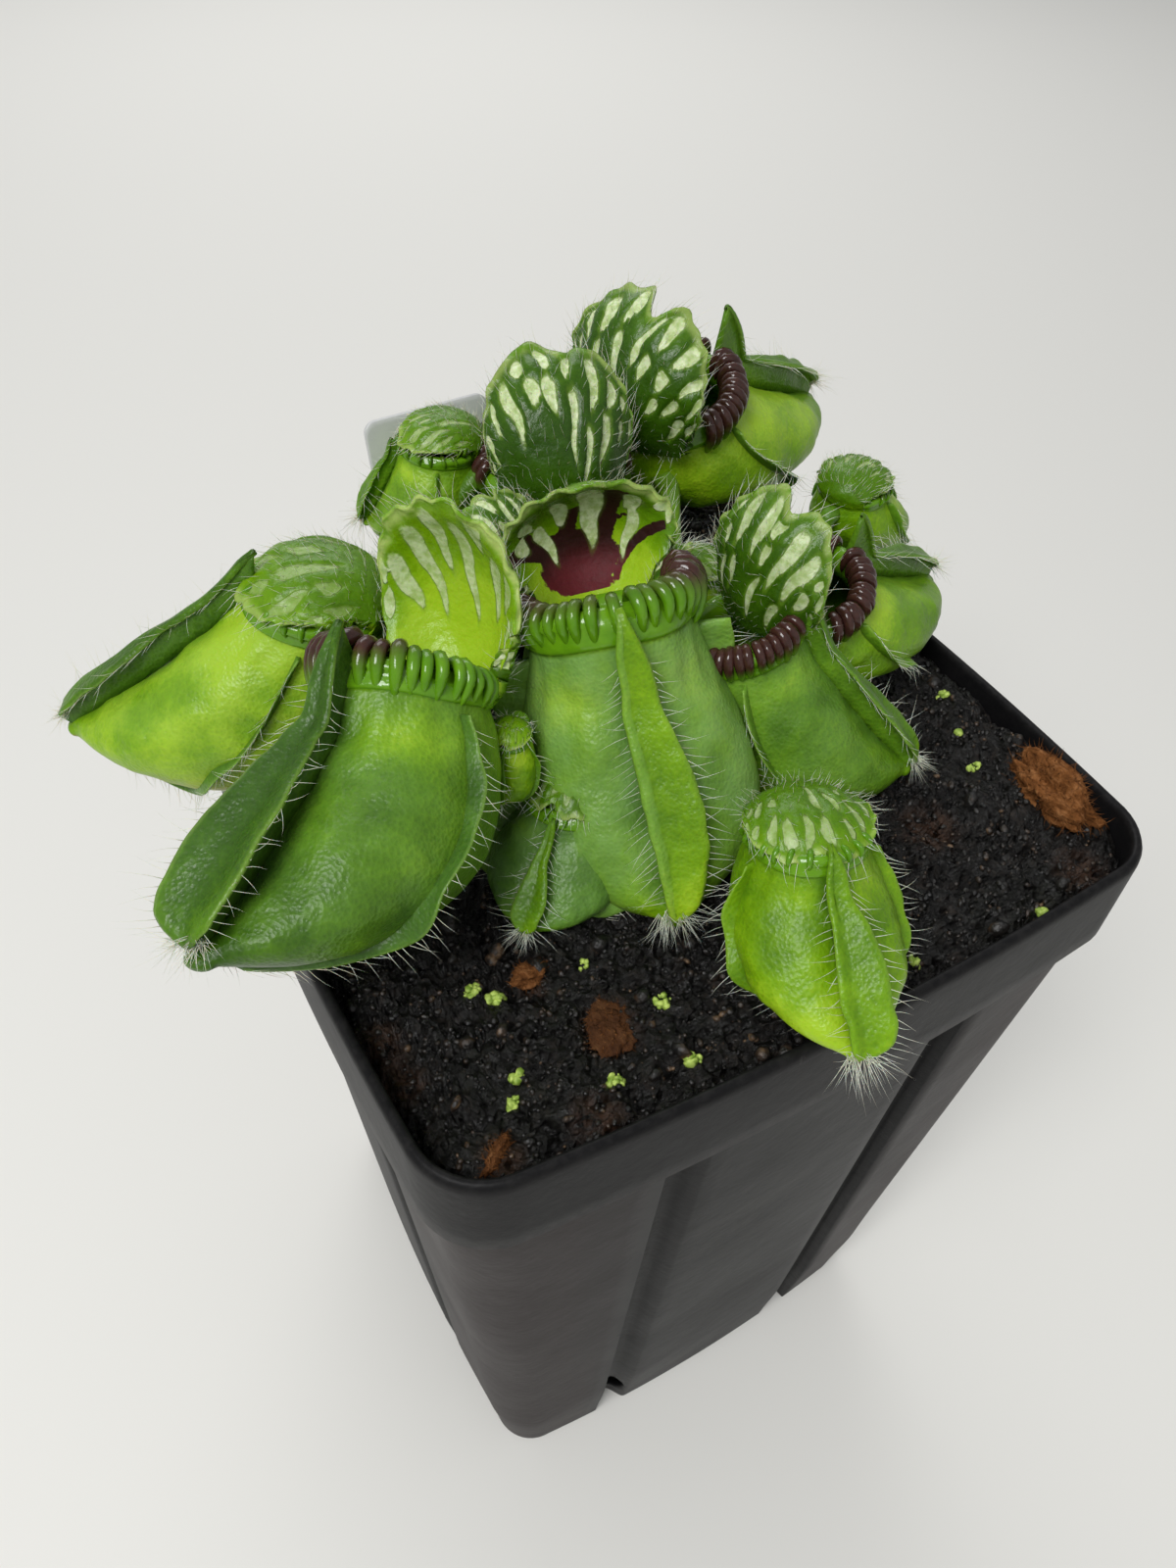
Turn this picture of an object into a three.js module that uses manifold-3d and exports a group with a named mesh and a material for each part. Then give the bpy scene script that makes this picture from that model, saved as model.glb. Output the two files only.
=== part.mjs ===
// Albany pitcher plant in its square nursery pot. Millimetres, +Z up,
// with the origin at the centre of the pot's base.
import * as THREE from 'three';
import { mergeVertices } from 'three/addons/utils/BufferGeometryUtils.js';
import Module from 'manifold-3d';

const wasm = await Module();
wasm.setup();

// Pot: a deep square nursery pot with a rim band and two grooves down each side.
const pot = {
  height: 128,
  rimHalf: 45,
  bandHeight: 13.4,
  underBandHalf: 43.6,
  baseHalf: 36.9,
  rimCorner: 8.5,
  bodyCorner: 8.1,
  baseCorner: 7.3,
  footCorner: 6.5,
  footInset: 0.8,
  wall: 1.3,
  floor: 1.6,
  bow: 1.5,
  grooveInner: 14.8,
  grooveOuter: 20.6,
  grooveDepth: 2.6,
  grooveRamp: 1.2,
  grooveEnd: 3,
  drainWidth: 4.6,
  drainHeight: 7,
  drainCentre: 8,
  footHole: 9,
  footHoleOffset: 17,
};
const seat = 0.3; // clearance between pieces that touch
const underBand = pot.height - pot.bandHeight;
const grooveTop = underBand - pot.grooveEnd;

// Peat: its level near the front corner, its rise towards the right, and a mound at the right and back.
const peat = {
  level: 123.8,
  riseAcross: 1.9,
  moundHeight: 3.2,
  moundX: 34,
  moundY: 22,
  moundSpread: 20,
  crownHeight: 1.6,
  crownX: 2,
  crownY: 8,
  crownSpread: 16,
  waves: 0.45,
};

// One pitcher at scale 1, facing +Y with the centre of its mouth at the origin.
const pitcher = {
  mouthRadius: 8.6,
  wall: 1.3,
  lipRadius: 1.5,
  lidThickness: 1.1,
  lidDome: 2.6,
  lidCurl: 55,
  wingHeight: 2.6,
  wingHalf: 0.7,
  flangeHalf: 2.2,
  sideWingHeight: 1.9,
  stalkRadius: 1.5,
  stalkDrop: 3.5,
};

// Where each pitcher grows. mouth: centre of the mouth. yaw: heading of the toe, counted from +X.
// pitch and roll: slope of the whole pitcher. tilt: how much more the front of its mouth is raised.
// lid: how far it stands up, its length and its half-width, at scale 1.
// toe: forward and down from the mouth, at scale 1. foot: where the stalk meets the peat.
// bend: where the stalk bows out beside the pouch, if not straight behind it.
// open: the mouth is wide open, so the pitcher is hollow.
const plants = [
  { name: 'pitcher_front', mouth: [-6, -2.5, 150.4], yaw: -109, pitch: 6, roll: 9, tilt: 24, scale: 1.0,
    lid: [58, 11.7, 10], toe: [22, 24.8], foot: [-2, 9], open: true },
  { name: 'pitcher_left_front', mouth: [-28.4, -3.4, 149.3], yaw: 206, pitch: 28, roll: 20, tilt: 17.5,
    scale: 0.92, lid: [53, 21, 9.4], toe: [28.2, 21.8], foot: [-14, 4], open: true },
  { name: 'pitcher_left_back', mouth: [-30.6, 16.1, 147.4], yaw: 161, pitch: 16, roll: 2, tilt: -3, scale: 0.84,
    lid: [-9, 17.6, 9.9], toe: [29.6, 25.8], foot: [-16, 14], open: false },
  { name: 'pitcher_back', mouth: [5, 31, 147], yaw: 75, pitch: 6, roll: 0, tilt: 10, scale: 0.98,
    lid: [38, 19, 9.4], toe: [22, 20], foot: [2, 17], open: true },
  { name: 'pitcher_right_back', mouth: [26, 35.8, 148.8], yaw: 14, pitch: 8, roll: 4, tilt: 12, scale: 1.0,
    lid: [50, 17.6, 11.6], toe: [31.5, 14.5], foot: [19, 21], bend: [7, -7, -8], open: true },
  { name: 'pitcher_right', mouth: [20.6, -3, 143.6], yaw: 8, pitch: 8, roll: 2, tilt: 12, scale: 0.8,
    lid: [56, 20.5, 10.6], toe: [30, 14], foot: [10, 3], open: true },
  { name: 'pitcher_right_front', mouth: [9, -6, 144.5], yaw: -43, pitch: 12, roll: 0, tilt: 6, scale: 0.78,
    lid: [62, 12, 7], toe: [24, 25], foot: [4, 4], open: true },
  { name: 'pitcher_young_front', mouth: [0.3, -31.8, 141], yaw: -108, pitch: 6, roll: 2, tilt: 12, scale: 0.64,
    lid: [-9, 17.4, 10.1], toe: [27.6, 19], foot: [7.5, -23], open: false },
  { name: 'pitcher_young_under', mouth: [-14.5, -12, 134.5], yaw: -140, pitch: 8, roll: 0, tilt: 4,
    scale: 0.56, lid: [-4, 17.6, 9.6], toe: [22, 16], foot: [-9, -6], open: false },
  { name: 'pitcher_young_back', mouth: [-7, 38, 149], yaw: 165, pitch: 4, roll: 0, tilt: 0, scale: 0.58,
    lid: [-4, 17.6, 9.6], toe: [17, 18], foot: [-19, 38], bend: [-9, -4, -7], open: false },
  { name: 'pitcher_middle', mouth: [-10, 20, 143], yaw: 112, pitch: 4, roll: 0, tilt: 8, scale: 0.64,
    lid: [44, 17, 9.6], toe: [20, 22], foot: [-6, 12], open: true },
  { name: 'pitcher_young_right', mouth: [43, 15, 142], yaw: 20, pitch: 4, roll: 0, tilt: 0, scale: 0.52,
    lid: [-2, 17.6, 9.6], toe: [22, 18], foot: [35, 13], open: false },
  { name: 'pitcher_bud_centre', mouth: [16, 12, 139], yaw: -60, pitch: 0, roll: 0, tilt: 0, scale: 0.4,
    lid: [-4, 17.6, 9.6], toe: [18, 22], foot: [13, 17], open: false },
  { name: 'pitcher_bud_small', mouth: [-20.5, -9.2, 143.4], yaw: -130, pitch: 0, roll: 0, tilt: 0, scale: 0.24,
    lid: [-4, 17.6, 9.6], toe: [18, 22], foot: [-21.5, -2.5], open: false },
];

const radians = THREE.MathUtils.degToRad;
const vector = (x, y, z) => new THREE.Vector3(x, y, z);

// Closed surface through rings of equally many points, its two ends capped by fans,
// or joined end to end where loop is true.
function loft(rings, loop = false) {
  const count = rings[0].length;
  const points = rings.flat();
  const triangles = [];
  const last = loop ? rings.length : rings.length - 1;
  for (let i = 0; i < last; i += 1) {
    const here = i * count;
    const next = ((i + 1) % rings.length) * count;
    for (let j = 0; j < count; j += 1) {
      const k = (j + 1) % count;
      triangles.push(here + j, here + k, next + k, here + j, next + k, next + j);
    }
  }
  if (!loop) {
    for (const [ring, start] of [[rings[0], 0], [rings.at(-1), (rings.length - 1) * count]]) {
      const centre = vector(0, 0, 0);
      ring.forEach((point) => centre.addScaledVector(point, 1 / count));
      const middle = points.push(centre) - 1;
      for (let j = 0; j < count; j += 1) {
        const k = (j + 1) % count;
        if (start === 0) triangles.push(middle, start + k, start + j);
        else triangles.push(middle, start + j, start + k);
      }
    }
  }
  return solidFrom(points, triangles);
}

// A solid from points and triangles, turned inside out if its volume is negative.
function solidFrom(points, triangles) {
  let volume = 0;
  for (let i = 0; i < triangles.length; i += 3) {
    const [a, b, c] = [0, 1, 2].map((j) => points[triangles[i + j]]);
    volume += a.dot(b.clone().cross(c));
  }
  const order = volume < 0 ? triangles.slice().reverse() : triangles;
  const geometry = new THREE.BufferGeometry();
  const numbers = points.flatMap((point) => point.toArray());
  geometry.setAttribute('position', new THREE.Float32BufferAttribute(numbers, 3));
  geometry.setIndex(order);
  return toSolid(geometry);
}

function toSolid(source) {
  const bare = source.clone();
  bare.deleteAttribute('normal');
  bare.deleteAttribute('uv');
  const geometry = mergeVertices(bare, 1e-4);
  return new wasm.Manifold(new wasm.Mesh({
    numProp: 3,
    vertProperties: new Float32Array(geometry.attributes.position.array),
    triVerts: new Uint32Array(geometry.index.array),
  }));
}

function toGeometry(solid) {
  const mesh = solid.getMesh();
  const geometry = new THREE.BufferGeometry();
  geometry.setAttribute('position', new THREE.Float32BufferAttribute(mesh.vertProperties, 3));
  geometry.setIndex(Array.from(mesh.triVerts));
  geometry.computeVertexNormals();
  return geometry;
}

// The piece of a cut solid that holds most of its volume.
function largest(solid) {
  const pieces = solid.decompose();
  return pieces.reduce((best, piece) => (piece.volume() > best.volume() ? piece : best));
}

// Outline of the pot at one height: a rounded square with bowed sides and, where depth is above 0,
// two grooves in each side.
function potOutline(half, radius, depth, z) {
  const straight = half - radius;
  const stops = [0, pot.grooveInner, pot.grooveInner + pot.grooveRamp,
    pot.grooveOuter - pot.grooveRamp, pot.grooveOuter, straight];
  const across = [...stops.slice(1).reverse().map((x) => -x), ...stops];
  const ring = [];
  for (let side = 0; side < 4; side += 1) {
    const turn = side * Math.PI / 2;
    const place = (x, y) => vector(
      x * Math.cos(turn) - y * Math.sin(turn),
      x * Math.sin(turn) + y * Math.cos(turn),
      z,
    );
    for (const x of across) {
      const inGroove = Math.abs(x) > pot.grooveInner + 0.1 && Math.abs(x) < pot.grooveOuter - 0.1;
      const bulge = pot.bow * (1 - (x / straight) ** 2);
      ring.push(place(x, -half - bulge + (inGroove ? depth : 0)));
    }
    for (const step of [1, 2, 3]) {
      const angle = -Math.PI / 2 + step * Math.PI / 8;
      ring.push(place(straight + radius * Math.cos(angle), -straight + radius * Math.sin(angle)));
    }
  }
  return ring;
}

const sideHalf = (z) => THREE.MathUtils.lerp(pot.baseHalf, pot.underBandHalf, z / underBand);

// The rim band alone, grown by grow millimetres, that trims the leaves lying over it.
function makeRim(grow) {
  const outer = pot.rimHalf + grow;
  const inner = pot.rimHalf - pot.wall - 0.2 - grow;
  const low = underBand - 2 * pot.grooveEnd;
  const high = pot.height + grow;
  const core = loft([low - 2, high + 2].map((z) => potOutline(inner, pot.rimCorner - pot.wall, 0, z)));
  return loft([low, high].map((z) => potOutline(outer, pot.rimCorner, 0, z))).subtract(core);
}

function makePot() {
  const { wall, grooveDepth: depth, rimHalf, rimCorner, bodyCorner } = pot;
  const outer = loft([
    potOutline(sideHalf(0) - pot.footInset, pot.footCorner, depth, 0),
    potOutline(sideHalf(grooveTop), bodyCorner, depth, grooveTop),
    potOutline(sideHalf(underBand), bodyCorner, 0, underBand),
    potOutline(rimHalf, rimCorner, 0, underBand + 0.4),
    potOutline(rimHalf, rimCorner, 0, pot.height),
  ]);
  const inner = loft([
    potOutline(sideHalf(pot.floor) - wall, pot.baseCorner - wall, depth, pot.floor),
    potOutline(sideHalf(grooveTop) - wall, bodyCorner - wall, depth, grooveTop),
    potOutline(sideHalf(underBand) - wall, bodyCorner - wall, 0, underBand),
    potOutline(rimHalf - wall - 0.5, rimCorner - wall, 0, underBand + 1.5),
    potOutline(rimHalf - wall - 0.2, rimCorner - wall, 0, pot.height + 1),
  ]);
  let body = outer.subtract(inner);
  const drain = new THREE.CylinderGeometry(1, 1, 12, 10);
  for (let side = 0; side < 4; side += 1) {
    for (const hand of [-1, 1]) {
      const hole = drain.clone().scale(pot.drainWidth / 2, 1, pot.drainHeight / 2);
      hole.translate(hand * (pot.grooveInner + pot.grooveOuter) / 2, -pot.baseHalf, pot.drainCentre);
      body = body.subtract(toSolid(hole.rotateZ(side * Math.PI / 2)));
    }
    const foot = new THREE.CylinderGeometry(pot.footHole / 2, pot.footHole / 2, 8, 12).rotateX(Math.PI / 2);
    foot.translate(pot.footHoleOffset, 0, 0).rotateZ(side * Math.PI / 2);
    body = body.subtract(toSolid(foot));
  }
  return body;
}

// Height of the peat at a place in the pot.
function peatHeight(x, y) {
  const mound = peat.moundHeight
    * Math.exp(-((x - peat.moundX) ** 2 + (y - peat.moundY) ** 2) / (2 * peat.moundSpread ** 2));
  const crown = peat.crownHeight
    * Math.exp(-((x - peat.crownX) ** 2 + (y - peat.crownY) ** 2) / (2 * peat.crownSpread ** 2));
  const ripple = peat.waves * Math.sin(x * 0.31 + 1.3) * Math.cos(y * 0.27 - 0.6);
  return peat.level + peat.riseAcross * (x + pot.rimHalf) / (2 * pot.rimHalf) + mound + crown + ripple;
}

// Peat from the pot's floor up to its surface, raised by lift where it trims what stands on it.
function makePeat(lift = 0) {
  const gap = pot.wall + seat;
  const fill = loft([
    potOutline(sideHalf(pot.floor + seat) - gap, pot.baseCorner - gap, pot.grooveDepth, pot.floor + seat),
    potOutline(sideHalf(grooveTop) - gap, pot.bodyCorner - gap, pot.grooveDepth, grooveTop),
    potOutline(sideHalf(underBand) - gap, pot.bodyCorner - gap, 0, underBand),
    potOutline(pot.rimHalf - gap - 0.5, pot.rimCorner - gap, 0, underBand + 1.8),
    potOutline(pot.rimHalf - gap - 0.4, pot.rimCorner - gap, 0, pot.height + 20),
  ]);
  const reach = pot.rimHalf + 4;
  const steps = 10;
  const points = [];
  const triangles = [];
  for (let i = 0; i <= steps; i += 1) {
    for (let j = 0; j <= steps; j += 1) {
      const x = -reach + 2 * reach * i / steps;
      const y = -reach + 2 * reach * j / steps;
      points.push(vector(x, y, peatHeight(x, y) + lift));
    }
  }
  const row = steps + 1;
  const lowStart = points.length;
  points.slice().forEach((point) => points.push(vector(point.x, point.y, -1)));
  for (let i = 0; i < steps; i += 1) {
    for (let j = 0; j < steps; j += 1) {
      const a = i * row + j;
      const corners = [a, a + row, a + row + 1, a + 1];
      triangles.push(corners[0], corners[1], corners[2], corners[0], corners[2], corners[3]);
      const low = corners.map((corner) => corner + lowStart);
      triangles.push(low[0], low[2], low[1], low[0], low[3], low[2]);
    }
  }
  const counts = Array.from({ length: steps }, (_, i) => i);
  const border = [
    ...counts.map((i) => i * row),
    ...counts.map((j) => steps * row + j),
    ...counts.map((i) => (steps - i) * row + steps),
    ...counts.map((j) => steps - j),
  ];
  border.forEach((a, index) => {
    const b = border[(index + 1) % border.length];
    triangles.push(a, a + lowStart, b + lowStart, a, b + lowStart, b);
  });
  const under = solidFrom(points, triangles);
  return lift > 0 ? under : fill.intersect(under);
}

// Outline of the pouch seen from its side at scale 1: front and back lines from the lip to the toe,
// each as forward and down, and the half-width between them.
const frontLine = [[8.6, 0], [10.8, -4.2], [13.9, -9], [17.1, -13.8], [20.2, -18.4], [22.7, -22], [24, -24]];
const backLine = [[-8.6, 0], [-9.6, -6], [-9.2, -14], [-4.6, -22.4], [5.5, -27.6], [16, -28], [23, -25.6]];
const halfWidths = [8.6, 9.6, 11.6, 12.6, 11.4, 8.2, 1.6];
const [tipForward, tipDown] = frontLine.at(-1);
const sideways = vector(1, 0, 0);

// Cross-sections of one pouch from its lip to its toe, grown by grow millimetres.
function pouchRings(plant, grow, sides, levels = halfWidths.length) {
  const lip = pitcher.mouthRadius;
  const forward = (plant.toe[0] - lip) / (tipForward - lip);
  const down = -plant.toe[1] / tipDown;
  const stretch = (y) => (y > lip ? lip + (y - lip) * forward : y);
  const rings = [];
  for (let i = 0; i < levels; i += 1) {
    const front = vector(0, stretch(frontLine[i][0]), frontLine[i][1] * down);
    const back = vector(0, stretch(backLine[i][0]), backLine[i][1] * down);
    const centre = front.clone().add(back).multiplyScalar(0.5);
    const across = front.clone().sub(centre);
    const reach = across.length() + grow;
    across.normalize();
    const ring = [];
    for (let j = 0; j < sides; j += 1) {
      const angle = j * 2 * Math.PI / sides;
      const point = centre.clone().addScaledVector(across, Math.cos(angle) * reach);
      point.x += Math.sin(angle) * (halfWidths[i] + grow);
      ring.push(point);
    }
    rings.push(ring);
  }
  rings[0].forEach((point) => {
    point.z += Math.max(0, grow);
    point.applyAxisAngle(sideways, radians(plant.tilt));
  });
  return rings;
}

// The thin fin along the middle of the front, or along one side of the pouch.
function makeWing(plant, grow, angle, height, half, from, to) {
  const rings = pouchRings(plant, 0, 24);
  const slot = Math.round(angle / 360 * 24 + 24) % 24;
  const fin = [];
  for (let i = from; i <= to; i += 1) {
    const ring = rings[i];
    const root = ring[slot];
    const centre = vector(0, 0, 0);
    ring.forEach((point) => centre.addScaledVector(point, 1 / ring.length));
    const out = root.clone().sub(centre).normalize();
    const before = rings[Math.max(i - 1, from)][slot];
    const along = rings[Math.min(i + 1, to)][slot].clone().sub(before).normalize();
    const aside = out.clone().cross(along).normalize();
    const share = (i - from) / (to - from);
    const top = height * (0.35 + 0.65 * Math.sin(Math.PI * Math.min(1, 0.15 + share * 0.8))) + grow;
    fin.push([
      root.clone().addScaledVector(out, -1).addScaledVector(aside, half + grow),
      root.clone().addScaledVector(out, top).addScaledVector(aside, half + grow),
      root.clone().addScaledVector(out, top).addScaledVector(aside, -half - grow),
      root.clone().addScaledVector(out, -1).addScaledVector(aside, -half - grow),
    ]);
  }
  return loft(fin);
}

// The rolled lip round the mouth.
function makeLip(grow) {
  const steps = 12;
  const rings = [];
  for (let i = 0; i < steps; i += 1) {
    const angle = i * 2 * Math.PI / steps;
    const ring = [];
    for (let j = 0; j < 5; j += 1) {
      const turn = j * 2 * Math.PI / 5;
      const radius = pitcher.mouthRadius + 0.2 + Math.cos(turn) * (pitcher.lipRadius + grow);
      ring.push(vector(
        Math.sin(angle) * radius,
        Math.cos(angle) * radius,
        0.3 + Math.sin(turn) * (pitcher.lipRadius + grow),
      ));
    }
    rings.push(ring);
  }
  return loft(rings, true);
}

// The domed lid, hinged on the back of the lip and notched at its tip.
function makeLid(plant, grow) {
  const { mouthRadius, lidDome } = pitcher;
  const [rise, lidLength, lidWidth] = plant.lid;
  const thickness = pitcher.lidThickness + 2 * grow;
  const curl = radians(pitcher.lidCurl);
  const start = radians(rise) + curl / 2;
  const middleLine = (v) => [
    -mouthRadius + lidLength / curl * (Math.sin(start) - Math.sin(start - curl * v)),
    0.6 + lidLength / curl * (Math.cos(start - curl * v) - Math.cos(start)),
  ];
  const levels = [-0.04, 0.2, 0.48, 0.72, 0.88, 0.97];
  const across = [-1, -0.55, 0, 0.55, 1];
  const rings = levels.map((v) => {
    const shape = v < 0.45 ? 0.72 + 0.28 * Math.sin(Math.PI / 2 * Math.max(0, v) / 0.45)
      : Math.sqrt(Math.max(0.02, 1 - ((v - 0.45) / 0.58) ** 2));
    const width = lidWidth * shape + grow;
    const [y, z] = middleLine(v);
    const tilt = start - curl * v;
    const place = (u, offset) => {
      const dome = lidDome * (1 - u * u) * Math.sin(Math.PI * (0.2 + 0.7 * v)) + offset;
      const wrap = (1 - Math.sqrt(1 - 0.5 * u * u)) * mouthRadius * 1.1 * Math.max(0, 1 - v * 1.6);
      return vector(width * u, y + wrap - dome * Math.sin(tilt), z + dome * Math.cos(tilt));
    };
    return [
      ...across.map((u) => place(u, thickness / 2)),
      ...across.slice().reverse().map((u) => place(u, -thickness / 2)),
    ];
  });
  return loft(rings);
}

// Turns and moves a solid from a pitcher's own frame to its place on the plant.
function placement(plant) {
  const turn = new THREE.Matrix4().makeRotationZ(radians(plant.yaw - 90));
  turn.multiply(new THREE.Matrix4().makeRotationX(radians(plant.pitch)));
  turn.multiply(new THREE.Matrix4().makeRotationY(radians(plant.roll)));
  turn.multiply(new THREE.Matrix4().makeScale(plant.scale, plant.scale, plant.scale));
  turn.setPosition(...plant.mouth);
  return turn;
}

// The stalk, from the back of the pouch in a bow down to the peat.
function makeStalk(plant, matrix, grow) {
  const radius = pitcher.stalkRadius * Math.max(0.75, plant.scale) + grow;
  const side = plant.bend ? Math.sign(plant.bend[0]) * 0.6 : 0;
  const inset = pitcher.mouthRadius - 1.5;
  const root = vector(side * inset, -inset * Math.sqrt(1 - side * side), -pitcher.stalkDrop);
  root.applyMatrix4(matrix);
  const bow = plant.bend ?? [0, -pitcher.mouthRadius - 3.2, -pitcher.stalkDrop - 0.5];
  const bend = vector(...bow).applyMatrix4(matrix);
  const ground = peatHeight(...plant.foot);
  const fall = vector(
    THREE.MathUtils.lerp(bend.x, plant.foot[0], 0.65),
    THREE.MathUtils.lerp(bend.y, plant.foot[1], 0.65),
    THREE.MathUtils.lerp(bend.z, ground, 0.5),
  );
  const path = new THREE.CatmullRomCurve3([root, bend, fall, vector(...plant.foot, ground - 2)]);
  const rings = path.getSpacedPoints(5).map((centre, i) => {
    const along = path.getTangentAt(i / 5);
    const side = vector(0, 0, 1).cross(along);
    if (side.lengthSq() < 0.01) side.set(1, 0, 0);
    side.normalize();
    const up = along.clone().cross(side).normalize();
    return [0, 1, 2, 3, 4].map((j) => centre.clone()
      .addScaledVector(side, Math.cos(j * 2 * Math.PI / 5) * radius)
      .addScaledVector(up, Math.sin(j * 2 * Math.PI / 5) * radius));
  });
  return loft(rings);
}

// One whole pitcher leaf. grow makes the fatter copy that keeps its neighbours clear of it.
function makePitcher(plant, grow = 0) {
  const sides = plant.scale > 0.7 ? 14 : 10;
  const own = grow / plant.scale;
  const mouthTurn = new THREE.Matrix4().makeRotationX(radians(plant.tilt));
  let body = loft(pouchRings(plant, own, sides)).add(makeLid(plant, own).transform(mouthTurn.elements));
  body = body.add(makeWing(plant, own, 0, pitcher.wingHeight, pitcher.flangeHalf, 1, 5));
  if (plant.scale > 0.3) {
    body = body.add(makeWing(plant, own, 90, pitcher.sideWingHeight, pitcher.wingHalf, 1, 4));
    body = body.add(makeWing(plant, own, -90, pitcher.sideWingHeight, pitcher.wingHalf, 1, 4));
  }
  if (plant.open) {
    body = body.add(makeLip(own).transform(mouthTurn.elements));
    if (grow === 0) {
      const hollow = pouchRings(plant, -pitcher.wall, 10, 5);
      const up = vector(0, 0, 0.9).applyAxisAngle(sideways, radians(plant.tilt));
      const top = hollow[0].map((point) => point.clone().add(up));
      body = body.subtract(loft([top, ...hollow]));
    }
  }
  const matrix = placement(plant);
  return body.transform(matrix.elements).add(makeStalk(plant, matrix, grow));
}

// The plant label, pushed into the peat behind the plant.
const label = {
  width: 18,
  thickness: 0.8,
  rise: 25.8,
  depth: 20,
  x: -5,
  y: 42,
  ground: 124,
  lean: 11,
  turn: 4,
};

function makeLabel(grow = 0) {
  const half = label.width / 2 + grow;
  const top = label.rise + grow;
  const outline = new THREE.Shape();
  outline.moveTo(-half, -label.depth);
  outline.lineTo(half, -label.depth);
  outline.lineTo(half, top);
  outline.lineTo(-half, top);
  const depth = label.thickness + 2 * grow;
  const plate = new THREE.ExtrudeGeometry(outline, { depth, bevelEnabled: false });
  plate.translate(0, 0, -depth / 2).rotateX(Math.PI / 2 - radians(label.lean));
  plate.rotateZ(radians(label.turn)).translate(label.x, label.y, label.ground);
  return toSolid(plate);
}

// Loose bits lying on the peat: place, size and turn of each.
const scraps = [
  { name: 'coir_lump', at: [39.8, -31], size: [5.8, 3.2, 3], turn: 90 },
  { name: 'bark_chip_front', at: [-21.5, -33.4], size: [3, 2.4, 0.8], turn: 60 },
  { name: 'bark_chip_middle', at: [-26, -24], size: [1.9, 1.2, 0.8], turn: 10 },
  { name: 'bark_curl', at: [-37.4, -40], size: [2.2, 0.8, 0.8], turn: 30 },
];

function makeScrap(scrap) {
  const lump = new THREE.IcosahedronGeometry(1, 1);
  lump.scale(...scrap.size).rotateZ(radians(scrap.turn));
  lump.translate(...scrap.at, peatHeight(...scrap.at) + scrap.size[2] * 0.35);
  return toSolid(lump);
}

const plastic = new THREE.MeshStandardMaterial({ color: 0x1b1b1e, roughness: 0.42, metalness: 0 });
const peatMaterial = new THREE.MeshStandardMaterial({ color: 0x14110e, roughness: 0.8, metalness: 0 });
const leaf = new THREE.MeshStandardMaterial({ color: 0x3f7f1f, roughness: 0.4, metalness: 0 });
const youngLeaf = new THREE.MeshStandardMaterial({ color: 0x79ad2a, roughness: 0.4, metalness: 0 });
const bark = new THREE.MeshStandardMaterial({ color: 0x6e3f22, roughness: 0.9, metalness: 0 });
const card = new THREE.MeshStandardMaterial({ color: 0xc9cacb, roughness: 0.45, metalness: 0 });

const group = new THREE.Group();
function addPiece(name, solid, material) {
  const mesh = new THREE.Mesh(toGeometry(solid), material);
  mesh.name = name;
  group.add(mesh);
}

addPiece('pot', makePot(), plastic);
addPiece('peat', makePeat(), peatMaterial);

const ground = makePeat(seat);
let taken = makeLabel(seat).add(makeRim(seat));
addPiece('label', largest(makeLabel().subtract(ground)), card);
for (const plant of plants) {
  const body = largest(makePitcher(plant).subtract(ground).subtract(taken));
  addPiece(plant.name, body, plant.open ? leaf : youngLeaf);
  taken = taken.add(makePitcher(plant, seat));
}
for (const scrap of scraps) {
  addPiece(scrap.name, largest(makeScrap(scrap).subtract(ground).subtract(taken)), bark);
}

export default group;
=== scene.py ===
import math

import bmesh
import bpy
import numpy as np
from mathutils import Matrix, Vector


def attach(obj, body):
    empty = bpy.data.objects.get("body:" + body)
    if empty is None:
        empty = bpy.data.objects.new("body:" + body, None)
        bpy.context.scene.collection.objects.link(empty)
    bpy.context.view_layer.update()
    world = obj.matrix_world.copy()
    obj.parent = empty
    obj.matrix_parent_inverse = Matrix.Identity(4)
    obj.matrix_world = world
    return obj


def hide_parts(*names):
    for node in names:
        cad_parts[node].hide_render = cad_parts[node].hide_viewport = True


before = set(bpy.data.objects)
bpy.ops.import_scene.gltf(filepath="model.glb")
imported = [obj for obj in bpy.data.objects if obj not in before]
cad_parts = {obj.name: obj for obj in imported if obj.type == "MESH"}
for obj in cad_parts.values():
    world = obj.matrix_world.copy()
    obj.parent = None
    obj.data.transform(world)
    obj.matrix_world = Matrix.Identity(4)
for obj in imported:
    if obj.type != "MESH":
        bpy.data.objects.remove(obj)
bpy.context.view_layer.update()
mm = 0.001
pi = math.pi

# Camera: its place, the way it looks and the picture's upright, in metres, and its lens in millimetres.
camera = {
    "place": (-0.0543, -0.0824, 0.2200),
    "look": (0.353, 0.598, -0.719),
    "up": (0.330, 0.640, 0.694),
    "lens": 25.28,
    "sensor": 36,
}
studio = {
    "floor": (0.785, 0.775, 0.735),
    "floorSize": 6.0,
    "sky": 0.38,
    "skyColour": (0.96, 0.98, 1.0),
    "lamps": {
        "key": {"at": (-0.38, -0.22, 0.70), "aim": (0, 0, 0.13), "size": 0.30, "watts": 4.0},
        "fill": {"at": (0.10, -0.75, 0.55), "aim": (0, 0, 0.10), "size": 0.9, "watts": 0.4},
        "rear": {"at": (0.30, 0.95, 0.90), "aim": (0.30, 0.80, 0), "size": 0.8, "watts": 5.6},
    },
}


# Nodes

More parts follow.
